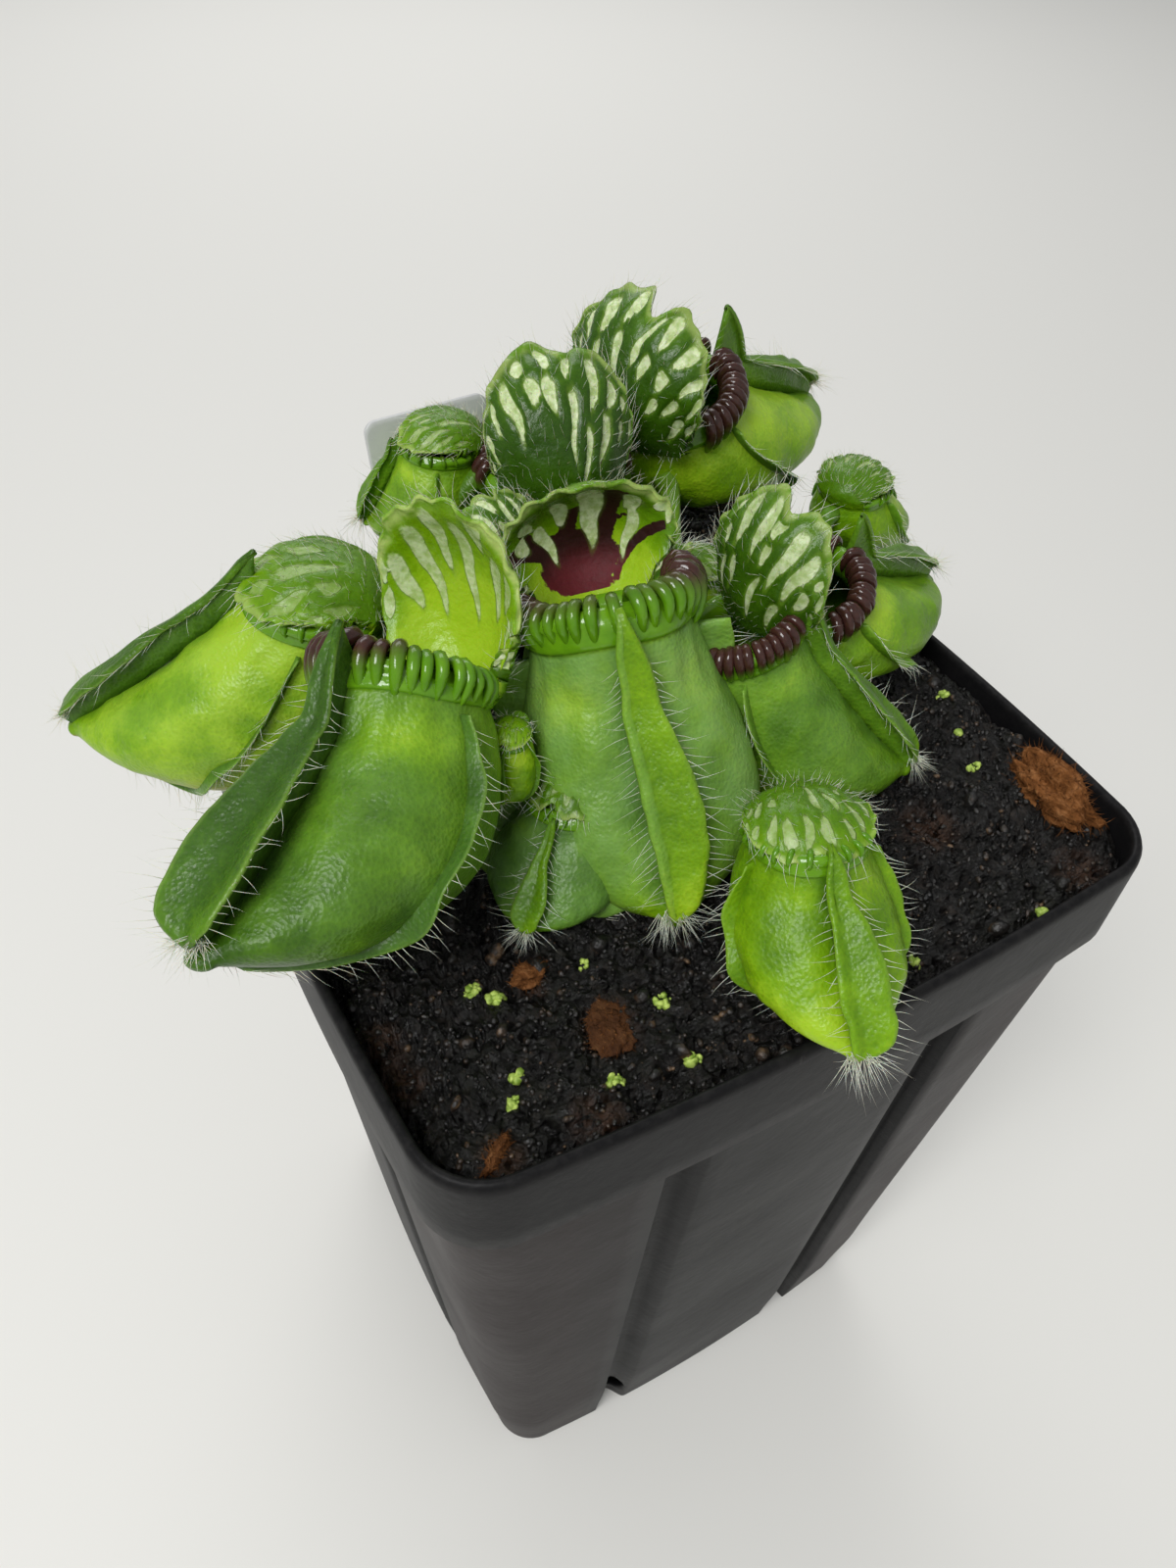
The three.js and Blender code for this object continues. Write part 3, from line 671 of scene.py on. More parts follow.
def makeHairTree(name, finish):  # bristles along lines, leaning the way that the lines say
    tree = Growth(name, Spacing=0.0006, Length=0.003, Thick=0.00005, Spread=0.3, Bend=0.14, Seed=1)
    lines = tree.node("GeometryNodeMeshToCurve", None, {"Mesh": tree.given("Geometry")})
    spots = tree.node("GeometryNodeResampleCurve", {"mode": "LENGTH"},
                      {"Curve": lines, "Length": tree.given("Spacing")})
    sizes = {"Radius Top": 0.0, "Radius Bottom": tree.given("Thick"), "Depth": 1.0}
    sizes.update({"Vertices": 3, "Side Segments": 3})
    spike = tree.node("GeometryNodeMeshCone", {"fill_type": "NGON"}, sizes)
    height = tree.node("ShaderNodeSeparateXYZ", None, {0: tree.node("GeometryNodeInputPosition")}, 2)
    sag = height * height * tree.given("Bend") * tree.given("Length")
    bow = tree.node("ShaderNodeCombineXYZ", None, {0: sag})
    hair = tree.node("GeometryNodeSetPosition", None, {"Geometry": spike, "Offset": bow})
    lean = tree.vector("ADD", tree.stored("lean", "FLOAT_VECTOR"),
                       tree.scaled(tree.chances(-1.0, 1.0, 5), tree.given("Spread")))
    aimed = tree.node("FunctionNodeAlignRotationToVector", {"axis": "Z"}, {"Vector": lean})
    spin = {"Axis": (0, 0, 1), "Angle": tree.chance(0.0, 6.28, 9)}
    twist = tree.node("FunctionNodeAxisAngleToRotation", None, spin)
    turn = tree.node("FunctionNodeRotateRotation", {"rotation_space": "LOCAL"}, {0: aimed, 1: twist})
    reach = tree.stored("reach") * tree.given("Length") * tree.chance(0.5, 1.25, 13)
    size = tree.node("ShaderNodeCombineXYZ", None, {0: 1.0, 1: 1.0, 2: reach})
    planted = tree.node("GeometryNodeInstanceOnPoints", None,
                        {"Points": spots, "Instance": hair, "Rotation": turn, "Scale": size})
    tree.end(planted, finish)
    return tree


def makeRibTree():  # rounded ribs along lines, as thick as the lines say
    tree = Growth("ribs", Steps=14, Sides=8, Thick=1.0)
    lines = tree.node("GeometryNodeMeshToCurve", None, {"Mesh": tree.given("Geometry")})
    curved = tree.node("GeometryNodeCurveSplineType", {"spline_type": "CATMULL_ROM"}, {"Curve": lines})
    even = tree.node("GeometryNodeResampleCurve", {"mode": "COUNT"},
                     {"Curve": curved, "Count": tree.given("Steps")})
    share = tree.node("GeometryNodeSplineParameter") * 2.0 - 1.0
    fromMiddle = tree.node("ShaderNodeMath", {"operation": "ABSOLUTE"}, {0: share})
    round = (1.002 - fromMiddle**5.0) ** 0.5
    thick = tree.stored("thick") * round * tree.given("Thick")
    section = tree.node("GeometryNodeCurvePrimitiveCircle", {"mode": "RADIUS"},
                        {"Resolution": tree.given("Sides"), "Radius": 1.0})
    body = tree.node("GeometryNodeCurveToMesh", None,
                     {"Curve": even, "Profile Curve": section, "Scale": thick, "Fill Caps": True})
    tree.end(body, lipGloss)
    return tree


def makeScatterTree(name, finish):  # small lumps scattered over a surface
    tree = Growth(name, Density=1000.0, Size=0.0004, Seed=1)
    spots = tree.node("GeometryNodeDistributePointsOnFaces", {"distribute_method": "RANDOM"}, {
        "Mesh": tree.given("Geometry"), "Density": tree.given("Density"), "Seed": tree.given("Seed"),
        "Selection": tree.stored("grit"),
    })
    lump = tree.node("GeometryNodeMeshIcoSphere", None, {"Radius": tree.given("Size"), "Subdivisions": 1})
    turn = tree.node("FunctionNodeEulerToRotation", None, {0: tree.chances(0.0, 6.28, 3)})
    uneven = tree.chance(0.25, 1.0, 7) ** 2.0 * 1.6
    size = tree.scaled(tree.chances(0.5, 1.2, 11), uneven)
    planted = tree.node("GeometryNodeInstanceOnPoints", None,
                        {"Points": spots, "Instance": lump, "Rotation": turn, "Scale": size})
    tree.end(planted, finish)
    return tree


# Pot: the solid one's own sizes in millimetres, with finer corners and lips. The band's profile is pairs of
# the way in from its face and the way up from its lower edge.
pot = {
    "height": 128, "rimHalf": 45, "bandHeight": 13.4, "underBandHalf": 43.6, "baseHalf": 36.9,
    "rimCorner": 8.5, "bodyCorner": 8.1, "footCorner": 6.5, "cornerFade": 30, "footInset": 0.8,
    "footFade": 20, "wall": 1.3, "floor": 1.6, "bow": 1.5,
    "grooveInner": 14.8, "grooveOuter": 20.6, "grooveDepth": 2.6, "grooveEnd": 3, "grooveSlopes": (2.6, 0.7),
    "drainWidth": 4.6, "drainHeight": 7, "drainCentre": 8, "footHole": 9, "footHoleOffset": 17,
    "band": [(0.9, -0.5), (0.25, -0.15), (0, 0.4), (0, 3), (0, 7), (0, 10), (0, 11.9), (0.05, 12.7),
             (0.35, 13.28), (0.8, 13.4), (1.15, 13.2), (1.3, 12.6), (1.5, 9.4), (1.8, 1)],
    "wallRows": 40, "insideRows": 24, "holeSides": 28,
}
underBand = pot["height"] - pot["bandHeight"]


def potRing(half, corner, depth, z):  # the pot's outline at one height
    straight = half - corner
    inner, outer = pot["grooveInner"], pot["grooveOuter"]
    fine = np.unique(np.concatenate([
        np.linspace(0, inner, 8), np.linspace(inner, outer, 15), np.linspace(outer, straight, 5),
    ]))
    across = np.concatenate([-fine[:0:-1], fine])
    reach = np.abs(across)
    slow, steep = pot["grooveSlopes"]
    groove = smooth((outer - reach) / steep) * smooth((reach - inner) / slow)
    bulge = pot["bow"] * (1 - (across / straight) ** 2)
    side = np.stack([across, -half - bulge + depth * groove], -1)
    angle = np.radians(np.linspace(-90, 0, 12)[1:-1])
    bend = np.stack([straight + corner * np.cos(angle), -straight + corner * np.sin(angle)], -1)
    quarter = np.concatenate([side, bend])
    quarter = np.column_stack([quarter, quarter[:, 0] * 0])
    ring = np.concatenate([turned(quarter, 90 * k, "Z") for k in range(4)])
    ring[:, 2] = z
    return ring


def potWall(z, inset):  # the wall's outline at a height under the band, moved in by inset
    corner = pot["footCorner"] + (pot["bodyCorner"] - pot["footCorner"]) * smooth(z / pot["cornerFade"])
    depth = pot["grooveDepth"] * (1 - smooth((z - underBand + pot["grooveEnd"] + 2) / 3))
    half = pot["baseHalf"] + (pot["underBandHalf"] - pot["baseHalf"]) * z / underBand
    half -= pot["footInset"] * (1 - smooth(z / pot["footFade"]))
    return potRing(half - inset, corner - inset, depth, z)


def makePot():
    wall = pot["wall"]
    rings = [potWall(0, 1.2), potWall(0, 0.5), potWall(0.25, 0.1)]
    rings += [potWall(z, 0) for z in np.linspace(0.9, underBand - 0.6, pot["wallRows"])]
    for inset, up in pot["band"]:
        rings.append(potRing(pot["rimHalf"] - inset, pot["rimCorner"] - inset, 0, underBand + up))
    rings += [potWall(z, wall) for z in np.linspace(underBand - 1, pot["floor"] + 1.5, pot["insideRows"])]
    rings += [potWall(pot["floor"], wall + 1)]
    rings = np.array(rings)
    corner = np.abs(np.abs(rings[..., 0]) - np.abs(rings[..., 1])) < 14
    across = np.minimum(np.abs(rings[..., 0]), np.abs(rings[..., 1]))
    column = smooth((across - pot["grooveOuter"]) / 1.5) * (rings[..., 2] < underBand)
    worn = hump(rings[..., 2], underBand + 0.2, 0.5) + 0.25 * hump(rings[..., 2], pot["height"], 0.8)
    skin = Skin()
    skin.grid(rings, closed=True, ends=(True, True), warmth=column * (0.6 + 0.4 * corner), worn=worn)
    body = skin.piece("potBody", [potPlastic])
    drill = Skin()
    angle = np.linspace(0, 2 * pi, pot["holeSides"], endpoint=False)
    for side in range(4):
        for hand in (-1, 1):
            x = hand * (pot["grooveInner"] + pot["grooveOuter"]) / 2 + np.cos(angle) * pot["drainWidth"] / 2
            z = pot["drainCentre"] + np.sin(angle) * pot["drainHeight"] / 2
            rod = np.array([np.stack([x, x * 0 - pot["baseHalf"] + y, z], -1) for y in (-6, 6)])
            drill.grid(turned(rod, 90 * side, "Z"), closed=True, ends=(True, True))
        x = pot["footHoleOffset"] + np.cos(angle) * pot["footHole"] / 2
        y = np.sin(angle) * pot["footHole"] / 2
        rod = np.array([np.stack([x, y, x * 0 + z], -1) for z in (-3, 4)])
        drill.grid(turned(rod, 90 * side, "Z"), closed=True, ends=(True, True))
    bit = drill.piece("drill", [potPlastic])
    cut = body.modifiers.new("holes", "BOOLEAN")
    cut.object = bit
    cut.solver = "EXACT"
    holed = bpy.data.meshes.new_from_object(body.evaluated_get(bpy.context.evaluated_depsgraph_get()))
    bpy.data.objects.remove(bit)
    bpy.data.objects.remove(body)
    return tidy(onlyPiece("potBody", holed), ["pot"])


makePot()
print("pot ready")

# Peat: its level, slope and mounds as in the solid one, and the crumbs on top. Moss and brown patches are
# places in the pot, a brown one with its size. Grains have a number for each square metre, a size in metres
# and a seed.
peat = {
    "level": 123.8, "riseAcross": 1.9, "mound": (3.2, 34, 22, 20), "crown": (1.6, 2, 8, 16), "waves": 0.45,
    "lumps": 2.0, "lumpSize": 4.6, "crumbs": 1.15, "crumbSize": 1.9, "rimDip": 0.9, "edge": 43.4, "seed": 11,
    "columns": 400, "rows": (16, 88),
    "grains": {"peatGrit": (700000.0, 0.00033, 3), "peatCrumbs": (30000.0, 0.0009, 5)},
    "mossBeads": {"Density": 9e6, "Size": 0.00042, "Seed": 8},
    "moss": [(37.1, -18.1), (35.8, -23), (10.7, -41.4), (-23.8, -38.3), (-32.2, -33.8), (-20.6, -26),
             (-31.9, -22.8), (-33.7, -36.1), (-15.5, -33.3), (-30.1, -24.6), (27.8, -42.8), (-16, -40.3),
             (41, -11.2), (-0.9, -39.4), (38, 30), (30, 39), (-36, 22), (-30, 38), (12, 40)],
    "brown": [(-21.5, -33.1, 3.4), (-26, -25.2, 1.6), (-27.4, -41.2, 3), (-42.4, -28.7, 3), (-42.5, -24, 2.5),
              (35.5, -41, 3.5), (-37, -40.4, 2.5), (24, -28, 4), (38, 36, 4), (-38, 34, 4)],
}


def peatLevel(x, y):
    height = peat["level"] + peat["riseAcross"] * (x + pot["rimHalf"]) / (2 * pot["rimHalf"])
    for rise, atX, atY, spread in (peat["mound"], peat["crown"]):
        height = height + rise * np.exp(-((x - atX) ** 2 + (y - atY) ** 2) / (2 * spread**2))
    return height + peat["waves"] * np.sin(x * 0.31 + 1.3) * np.cos(y * 0.27 - 0.6)


def peatTop(x, y):  # the level with its lumps
    flat = np.stack([x, y, x * 0], -1)
    lumps = peat["lumps"] * rough(flat, peat["lumpSize"], peat["seed"], 3)
    ridges = 0.5 - np.abs(rough(flat, peat["crumbSize"], peat["seed"] + 9, 4)) * 2
    return peatLevel(x, y) + lumps + peat["crumbs"] * (ridges - 0.25)


def evenRing(ring):  # the same outline through points at even steps
    loop = np.concatenate([ring, ring[:1]])
    run = np.concatenate([[0], np.cumsum(np.linalg.norm(np.diff(loop, axis=0), axis=1))])
    steps = np.linspace(0, run[-1], peat["columns"], endpoint=False)
    return np.stack([np.interp(steps, run, loop[:, k]) for k in range(3)], -1)


def makePeat():
    outline = evenRing(potRing(peat["edge"], pot["rimCorner"] - 1.5, 0, 0))
    inner, outer = peat["rows"]
    share = np.concatenate([np.linspace(0.004, 0.45, inner), np.linspace(0.456, 1, outer)])
    top = share[:, None, None] * outline[None]
    x, y = top[..., 0], top[..., 1]
    rim = smooth((share - 0.965) / 0.035)[:, None]
    top[..., 2] = peatTop(x, y) - peat["rimDip"] * rim
    low = []
    for z in (underBand + 3, underBand - 2, 100, 70, 40, 12, 2.2):
        ring = evenRing(potWall(z, pot["wall"] + 0.3)) if z < underBand else outline.copy()
        ring[:, 2] = z
        low.append(ring)
    rings = np.concatenate([top, np.array(low)])
    brown = 0
    for a, b, size in peat["brown"]:
        brown = brown + smooth(1.25 - np.hypot(rings[..., 0] - a, rings[..., 1] - b) / size)
    skin = Skin()
    grit = (np.arange(len(rings)) < len(top) - 2)[:, None]
    skin.grid(rings, closed=True, ends=(True, True), brown=np.clip(brown, 0, 1), grit=grit)
    body = skin.piece("peatBody", [wetPeat])
    grains = makeScatterTree("grains", peatGrain)
    for name, (density, size, seed) in peat["grains"].items():
        sown = onlyPiece(name, body.data.copy())
        tidy(grains.grow(name, sown, Density=density, Size=size, Seed=seed), None)
    tidy(body, ["peat"])
    tufts = Skin()
    turn = np.linspace(0, 2 * pi, 7, endpoint=False)
    for k, (a, b) in enumerate(peat["moss"]):
        wide = 0.55 + 0.5 * (k * 0.618 % 1)
        x = a + np.cos(turn) * wide
        y = b + np.sin(turn) * wide * 0.7
        z = peatTop(x, y)
        ring = np.stack([x, y, z + 0.1], -1)
        tufts.grid(np.array([ring, ring * 0.5 + ring.mean(0) * 0.5 + [0, 0, 0.3]]), closed=True,
                   ends=(False, True), grit=1.0)
    scattered = makeScatterTree("mossBeads", mossGreen)
    sown = tufts.piece("mossBed", [mossGreen])
    tidy(scattered.grow("mossBits", sown, **peat["mossBeads"]), None)


makePeat()
print("peat ready")

# Plant label, in millimetres, with rounded corners. Its edges are pairs of inset and distance to a face.
label = {
    "width": 18, "thickness": 0.8, "rise": 25.8, "depth": 20, "at": (-5, 42, 124), "lean": 11, "turn": 4,
    "corner": 1.6, "edges": ((0.25, 0), (0.05, 0.08), (0, 0.2)),
}


def makeLabel():
    half, corner = label["width"] / 2, label["corner"]
    angle = np.radians(np.linspace(0, 90, 7))
    arc = np.stack([np.cos(angle), np.sin(angle)], -1) * corner
    bend = np.concatenate([arc + [half - corner, label["rise"] - corner],
                           arc[::-1] * [-1, 1] + [corner - half, label["rise"] - corner]])
    outline = np.concatenate([[[half, -label["depth"]]], bend, [[-half, -label["depth"]]]])
    thin = label["thickness"] / 2
    steps = [(inset, gap - thin) for inset, gap in label["edges"]]
    rings = []
    for inset, y in steps + [(inset, -y) for inset, y in steps[::-1]]:
        pull = outline * (1 - inset / half)
        rings.append(np.stack([pull[:, 0], pull[:, 0] * 0 - y, pull[:, 1]], -1))
    rings = turned(turned(np.array(rings), -label["lean"], "X"), label["turn"], "Z") + label["at"]
    skin = Skin()
    skin.grid(rings, closed=True, ends=(True, True))
    return tidy(skin.piece("plantLabel", [labelPlastic]), ["label"])


makeLabel()

# Loose bits on the peat: place, half sizes, turn and how torn they are.
scraps = {
    "coir_lump": {"at": (40.2, -31), "size": (5.8, 3.0, 2.9), "turn": 90, "torn": 0.62, "dark": 0.0},
    "bark_chip_front": {"at": (-21.5, -33.4), "size": (3, 2.4, 0.7), "turn": 60, "torn": 0.6, "dark": 0.75},
    "bark_chip_middle": {"at": (-26, -24), "size": (1.9, 1.2, 0.8), "turn": 10, "torn": 0.5, "dark": 0.25},
    "bark_curl": {"at": (-37.4, -40), "size": (2.2, 0.7, 0.8), "turn": 30, "torn": 0.4, "dark": 0.45},
}
coirThreads = {"Spacing": 0.0007, "Length": 0.0016, "Thick": 0.00007, "Spread": 1.1, "Bend": 0.5, "Seed": 17}


def makeScraps():
    fibres = Lines()
    for seed, (node, scrap) in enumerate(scraps.items()):
        rows, columns = 40, 56
        down = np.linspace(0.02, pi - 0.02, rows)[:, None]
        round = np.linspace(0, 2 * pi, columns, endpoint=False)[None]
        around = [np.sin(down) * np.cos(round), np.sin(down) * np.sin(round), np.cos(down) + 0 * round]
        ball = np.stack(around, -1)
        ragged = 1 + scrap["torn"] * 1.5 * rough(ball, 0.55, seed + 40, 4)
        body = turned(ball * ragged[..., None] * scrap["size"], scrap["turn"], "Z")
        x, y = scrap["at"]
        body = body + [x, y, peatLevel(x, y) + scrap["size"][2] * 0.35]
        skin = Skin()
        skin.grid(body, closed=True, ends=(True, True), dark=scrap["dark"])
        name = node.replace("_", " ").title().replace(" ", "")
        tidy(skin.piece(name, [barkFibre]), [node])
        middle = body.mean((0, 1))
        for row in range(3, rows * 2 // 3, 2):
            line = np.concatenate([body[row], body[row, :1]])
            fibres.add(line, {"lean": unit((line - middle) * [1, 1, 0.6])}, reach=scrap["size"][2] / 3)
    threads = makeHairTree("threads", barkFibre)
    tidy(threads.grow("coirThreads", fibres.piece("threadLines"), **coirThreads), None)


makeScraps()
print("label and scraps ready")

# Pitchers: sizes at scale 1, facing +Y with the centre of the mouth at the origin, in millimetres. The lip
# is rings of radius, height and how much higher it stands in front. The collar is where it joins the pouch.
pitcher = {
    "mouthRadius": 8.6,
    "front": [(8.6, 0), (10.8, -4.2), (13.9, -9), (17.1, -13.8), (20.2, -18.4), (22.7, -22), (24, -24)],
    "back": [(-8.6, 0), (-9.6, -6), (-9.2, -14), (-4.6, -22.4), (5.5, -27.6), (16, -28), (23, -25.6)],
    "halfWidths": [8.6, 9.6, 11.6, 12.6, 11.4, 8.2, 2.2],
    "lidDome": 2.6,
    "lidCurl": 55,
    "stalkRadius": 1.5,
    "stalkDrop": 3.5,
    "collar": 0.44,
    "collarRings": ((0.30, 0.62), (0.55, 0.50), (0.78, 0.42), (0.92, 0.34), (0.985, 0.20)),
    "lip": [(7.0, -2.8, 0), (7.05, -1.3, 0), (7.4, 0.1, 0.3), (7.9, 0.1, 0.8), (8.5, -0.1, 1.1),
            (9.1, -0.3, 0.9), (9.4, -0.7, 0.4)],
    "lipWidth": 2.55,
    "toeRows": [5.93, 6.0, 6.25, 6.5, 6.7, 6.85, 6.95],
    "toePush": (0, 0.75, -0.45),
    "wingRise": [0.75, 0.85, 1.0, 1.05, 1.0, 0.8, 0.45],
    "lidFan": 131,
    "ribSpan": 1.78,
    "ribThickness": (0.34, 0.50, 0.62, 0.68, 0.66, 0.56, 0.40, 0.20),
}

# What each pitcher looks like, unless its own entry says otherwise. A tone runs from 0, deep green, to 1,
# yellow green. wing is the front wing's half-widths left and right, flap its rise at the lip. ribSizes and
# ribTints run round the lip from left to right, or are one number for all.
# The bloom look is the pale waxy bloom together with a painted sheen over the lobes and wings.
plainLook = {
    "tone": 0.50, "toeTone": 0.56, "bloom": 0.35, "warm": 0.0, "taper": 0.15, "sway": 0.0,
    "wing": (2.6, 2.6), "wingHeight": 2.2, "wingTone": 0.42, "flap": 0.8, "flapLean": 0.25, "beyond": 0.6,
    "channel": 0.6, "wingShape": (0.26, 0.30, 0.44, 0.78, 1.0, 0.87, 0.48),
    "side": 2.1, "sideShape": (0.7, 1.0, 1.05, 0.95, 0.9, 0.75, 0.15),
    "ribs": 23, "ribSizes": (1.35, 1.15, 0.95, 0.9, 0.95, 1.15, 1.35),
    "ribTints": (1.0, 0.6, 0.35, 0.3, 0.35, 0.6, 1.0),
    "lidTone": 0.20, "face": "plain", "notch": 0.10, "clear": 1.0, "faceClear": 0.55, "windows": None,
    "columns": 14, "slide": 0.0, "dome": 1.0, "seed": 1, "tuft": 1.0,
}


def plant(mouth, yaw, pitch, roll, tilt, scale, lid, toe, foot, bend=None, **look):
    return {
        "mouth": mouth, "yaw": yaw, "pitch": pitch, "roll": roll, "tilt": tilt, "scale": scale,
        "lid": lid, "toe": toe, "foot": foot, "bend": bend, **plainLook, **look,
    }


# Where each pitcher grows, as in the solid ones, and its look. windows are the clear patches of a lid's face:
# place across from -1 to 1, place up from 0 to 1, half-width and half-height.
plants = {
    "pitcher_front": plant(
        (-6, -2.5, 150.4), -109, 6, 9, 24, 1.0, (58, 11.7, 10), (22, 24.8), (-2, 9),
        tone=0.56, toeTone=0.62, bloom=0.95, taper=0.32, wing=(4.4, 1.3), wingHeight=1.8, wingTone=0.62,
        flap=1.0, wingShape=(0.40, 0.62, 0.85, 1.0, 0.92, 0.66, 0.34),
        sideShape=(1.7, 1.25, 0.45, 0.35, 0.5, 0.6, 0.15),
        ribSizes=(2.0, 1.5, 1.05, 0.95, 0.95, 1.05, 1.35), ribTints=(1.0, 0.7, 0.35, 0.3, 0.35, 0.6, 1.0),
        face="maroon", faceClear=1.0, notch=0.02, lidTone=0.30, seed=4,
        windows=[(0.47, 0.66, 0.060, 0.10), (0.30, 0.47, 0.048, 0.20), (0.36, 0.76, 0.050, 0.08),
                 (0.13, 0.66, 0.050, 0.13), (-0.07, 0.60, 0.072, 0.31), (-0.31, 0.78, 0.055, 0.12),
                 (-0.375, 0.47, 0.046, 0.24), (-0.47, 0.92, 0.04, 0.06), (-0.57, 0.92, 0.05, 0.07)],
    ),
    "pitcher_left_front": plant(
        (-28.4, -3.4, 149.3), 206, 28, 20, 17.5, 0.92, (53, 21, 9.4), (28.2, 21.8), (-14, 4),
        tone=0.46, toeTone=0.34, bloom=0.25, taper=0.16, sway=2.7, wing=(3.6, 4.4), wingHeight=2.6,
        wingTone=0.16, flap=3.0, beyond=0.0, channel=0.75,
        wingShape=(0.30, 0.42, 0.66, 0.95, 1.05, 0.90, 0.40),
        ribs=22, ribSizes=(0.8, 1.0, 1.2, 1.7, 1.9, 1.7, 1.4), ribTints=(0.0, 0.1, 0.3, 0.8, 1.0, 1.0, 1.0),
        face="green", faceClear=0.75, lidTone=0.40, seed=7, notch=0.03,
        windows=[(0.62, 0.80, 0.07, 0.09), (0.42, 0.72, 0.055, 0.20), (0.50, 0.93, 0.05, 0.05),
                 (0.22, 0.66, 0.05, 0.26), (0.05, 0.78, 0.045, 0.18), (-0.10, 0.62, 0.045, 0.26),
                 (-0.25, 0.86, 0.045, 0.10), (-0.36, 0.62, 0.05, 0.20), (-0.52, 0.74, 0.05, 0.16),
                 (-0.66, 0.60, 0.05, 0.12)],
    ),
    "pitcher_left_back": plant(
        (-30.6, 16.1, 147.4), 161, 16, 2, -3, 0.84, (-9, 17.6, 9.9), (29.6, 25.8), (-16, 14),
        tone=0.82, toeTone=0.76, bloom=0.25, warm=0.7, taper=0.25, wing=(1.6, 2.0), wingHeight=2.8, flap=4.6,
        channel=0.2, flapLean=-0.45, wingTone=0.28, side=1.3, lidTone=0.52, clear=0.22, ribs=14, ribSizes=0.5,
        ribTints=0.1, seed=10, tuft=0.5, slide=0.6, columns=8,
    ),
    "pitcher_back": plant(
        (5, 31, 147), 75, 6, 0, 10, 0.98, (38, 19, 9.4), (22, 20), (2, 17),
        tone=0.55, lidTone=0.22, seed=13, ribTints=0.8, notch=0.13,
    ),
    "pitcher_right_back": plant(
        (26, 35.8, 148.8), 14, 8, 4, 12, 1.0, (50, 17.6, 11.6), (31.5, 14.5), (19, 21), (7, -7, -8),
        tone=0.80, toeTone=0.60, bloom=0.20, wing=(2.2, 2.2), flap=5.0, wingHeight=3.0, lidTone=0.24,
        ribSizes=1.3, ribTints=0.95, seed=16, notch=0.16,
    ),
    "pitcher_right": plant(
        (20.6, -3, 143.6), 8, 8, 2, 12, 0.8, (56, 20.5, 10.6), (30, 14), (10, 3),
        tone=0.66, toeTone=0.54, bloom=0.18, wing=(2.2, 2.2), flap=5.0, wingHeight=2.8, lidTone=0.28,
        clear=0.75, ribSizes=1.3, ribTints=(0.9, 0.9, 0.9, 0.95, 1.0, 1.0, 1.0), seed=19, notch=0.14,
    ),
    "pitcher_right_front": plant(
        (9, -6, 144.5), -43, 12, 0, 6, 0.78, (62, 12, 7), (24, 25), (4, 4),
        tone=0.44, toeTone=0.50, bloom=0.35, wing=(2.2, 2.2), flap=3.0, wingHeight=2.4, lidTone=0.22,
        ribSizes=(0.7, 0.8, 0.9, 1.1, 1.2, 1.2, 1.1), ribTints=(0.7, 0.7, 0.8, 0.9, 1.0, 1.0, 1.0), seed=22,
        notch=0.2, taper=0.25,
    ),
    "pitcher_young_front": plant(
        (0.3, -31.8, 141), -108, 6, 2, 12, 0.64, (-9, 17.4, 10.1), (27.6, 19), (7.5, -23),
        tone=0.48, toeTone=0.92, bloom=0.0, taper=0.3, wing=(5.2, 1.8), wingHeight=2.0, wingTone=0.54,
        flap=2.4, flapLean=-0.6, wingShape=(0.30, 0.50, 0.80, 1.0, 1.0, 0.90, 0.60), lidTone=0.50, clear=0.4,
        ribs=15, ribSizes=0.55, ribTints=0.0, seed=25, tuft=1.5, dome=0.85,
    ),
    "pitcher_young_under": plant(
        (-14.5, -12, 134.5), -140, 8, 0, 4, 0.56, (-4, 17.6, 9.6), (22, 16), (-9, -6),
        tone=0.34, toeTone=0.44, bloom=0.7, wing=(3.0, 3.0), side=4.2, wingTone=0.46, lidTone=0.3, clear=0.3,
        ribs=12, ribSizes=0.5, ribTints=0.2, seed=28, taper=0.25,
    ),
    "pitcher_young_back": plant(
        (-7, 38, 149), 165, 4, 0, 0, 0.58, (-4, 17.6, 9.6), (17, 18), (-19, 38), (-9, -4, -7),
        tone=0.62, toeTone=0.55, bloom=0.2, lidTone=0.50, clear=0.4, ribs=12, ribSizes=0.5, ribTints=0.3,
        seed=31, tuft=1.4,
    ),
    "pitcher_middle": plant(
        (-10, 20, 143), 112, 4, 0, 8, 0.64, (44, 17, 9.6), (20, 22), (-6, 12),
        tone=0.45, lidTone=0.26, bloom=0.5, seed=34,
    ),
    "pitcher_young_right": plant(
        (43, 15, 142), 20, 4, 0, 0, 0.52, (-2, 17.6, 9.6), (22, 18), (35, 13),
        tone=0.66, toeTone=0.6, bloom=0.15, lidTone=0.48, clear=0.4, ribs=12, ribSizes=0.5, ribTints=0.3,
        seed=37,
    ),
    "pitcher_bud_centre": plant(
        (16, 12, 139), -60, 0, 0, 0, 0.4, (-4, 17.6, 9.6), (18, 22), (13, 17),
        tone=0.60, bloom=0.2, lidTone=0.5, clear=0.3, ribs=10, ribSizes=0.5, ribTints=0.0, seed=40, tuft=0.5,
    ),
    "pitcher_bud_small": plant(
        (-20.5, -9.2, 143.4), -130, 0, 0, 0, 0.24, (-4, 17.6, 9.6), (18, 22), (-21.5, -2.5),
        tone=0.74, bloom=0.0, lidTone=0.7, clear=0.1, ribs=8, ribSizes=0.4, ribTints=0.0, seed=43, tuft=0.8,
    ),
}
ribLines = Lines()
edgeHairs = Lines()
tuftHairs = Lines()
lidHairs = Lines()


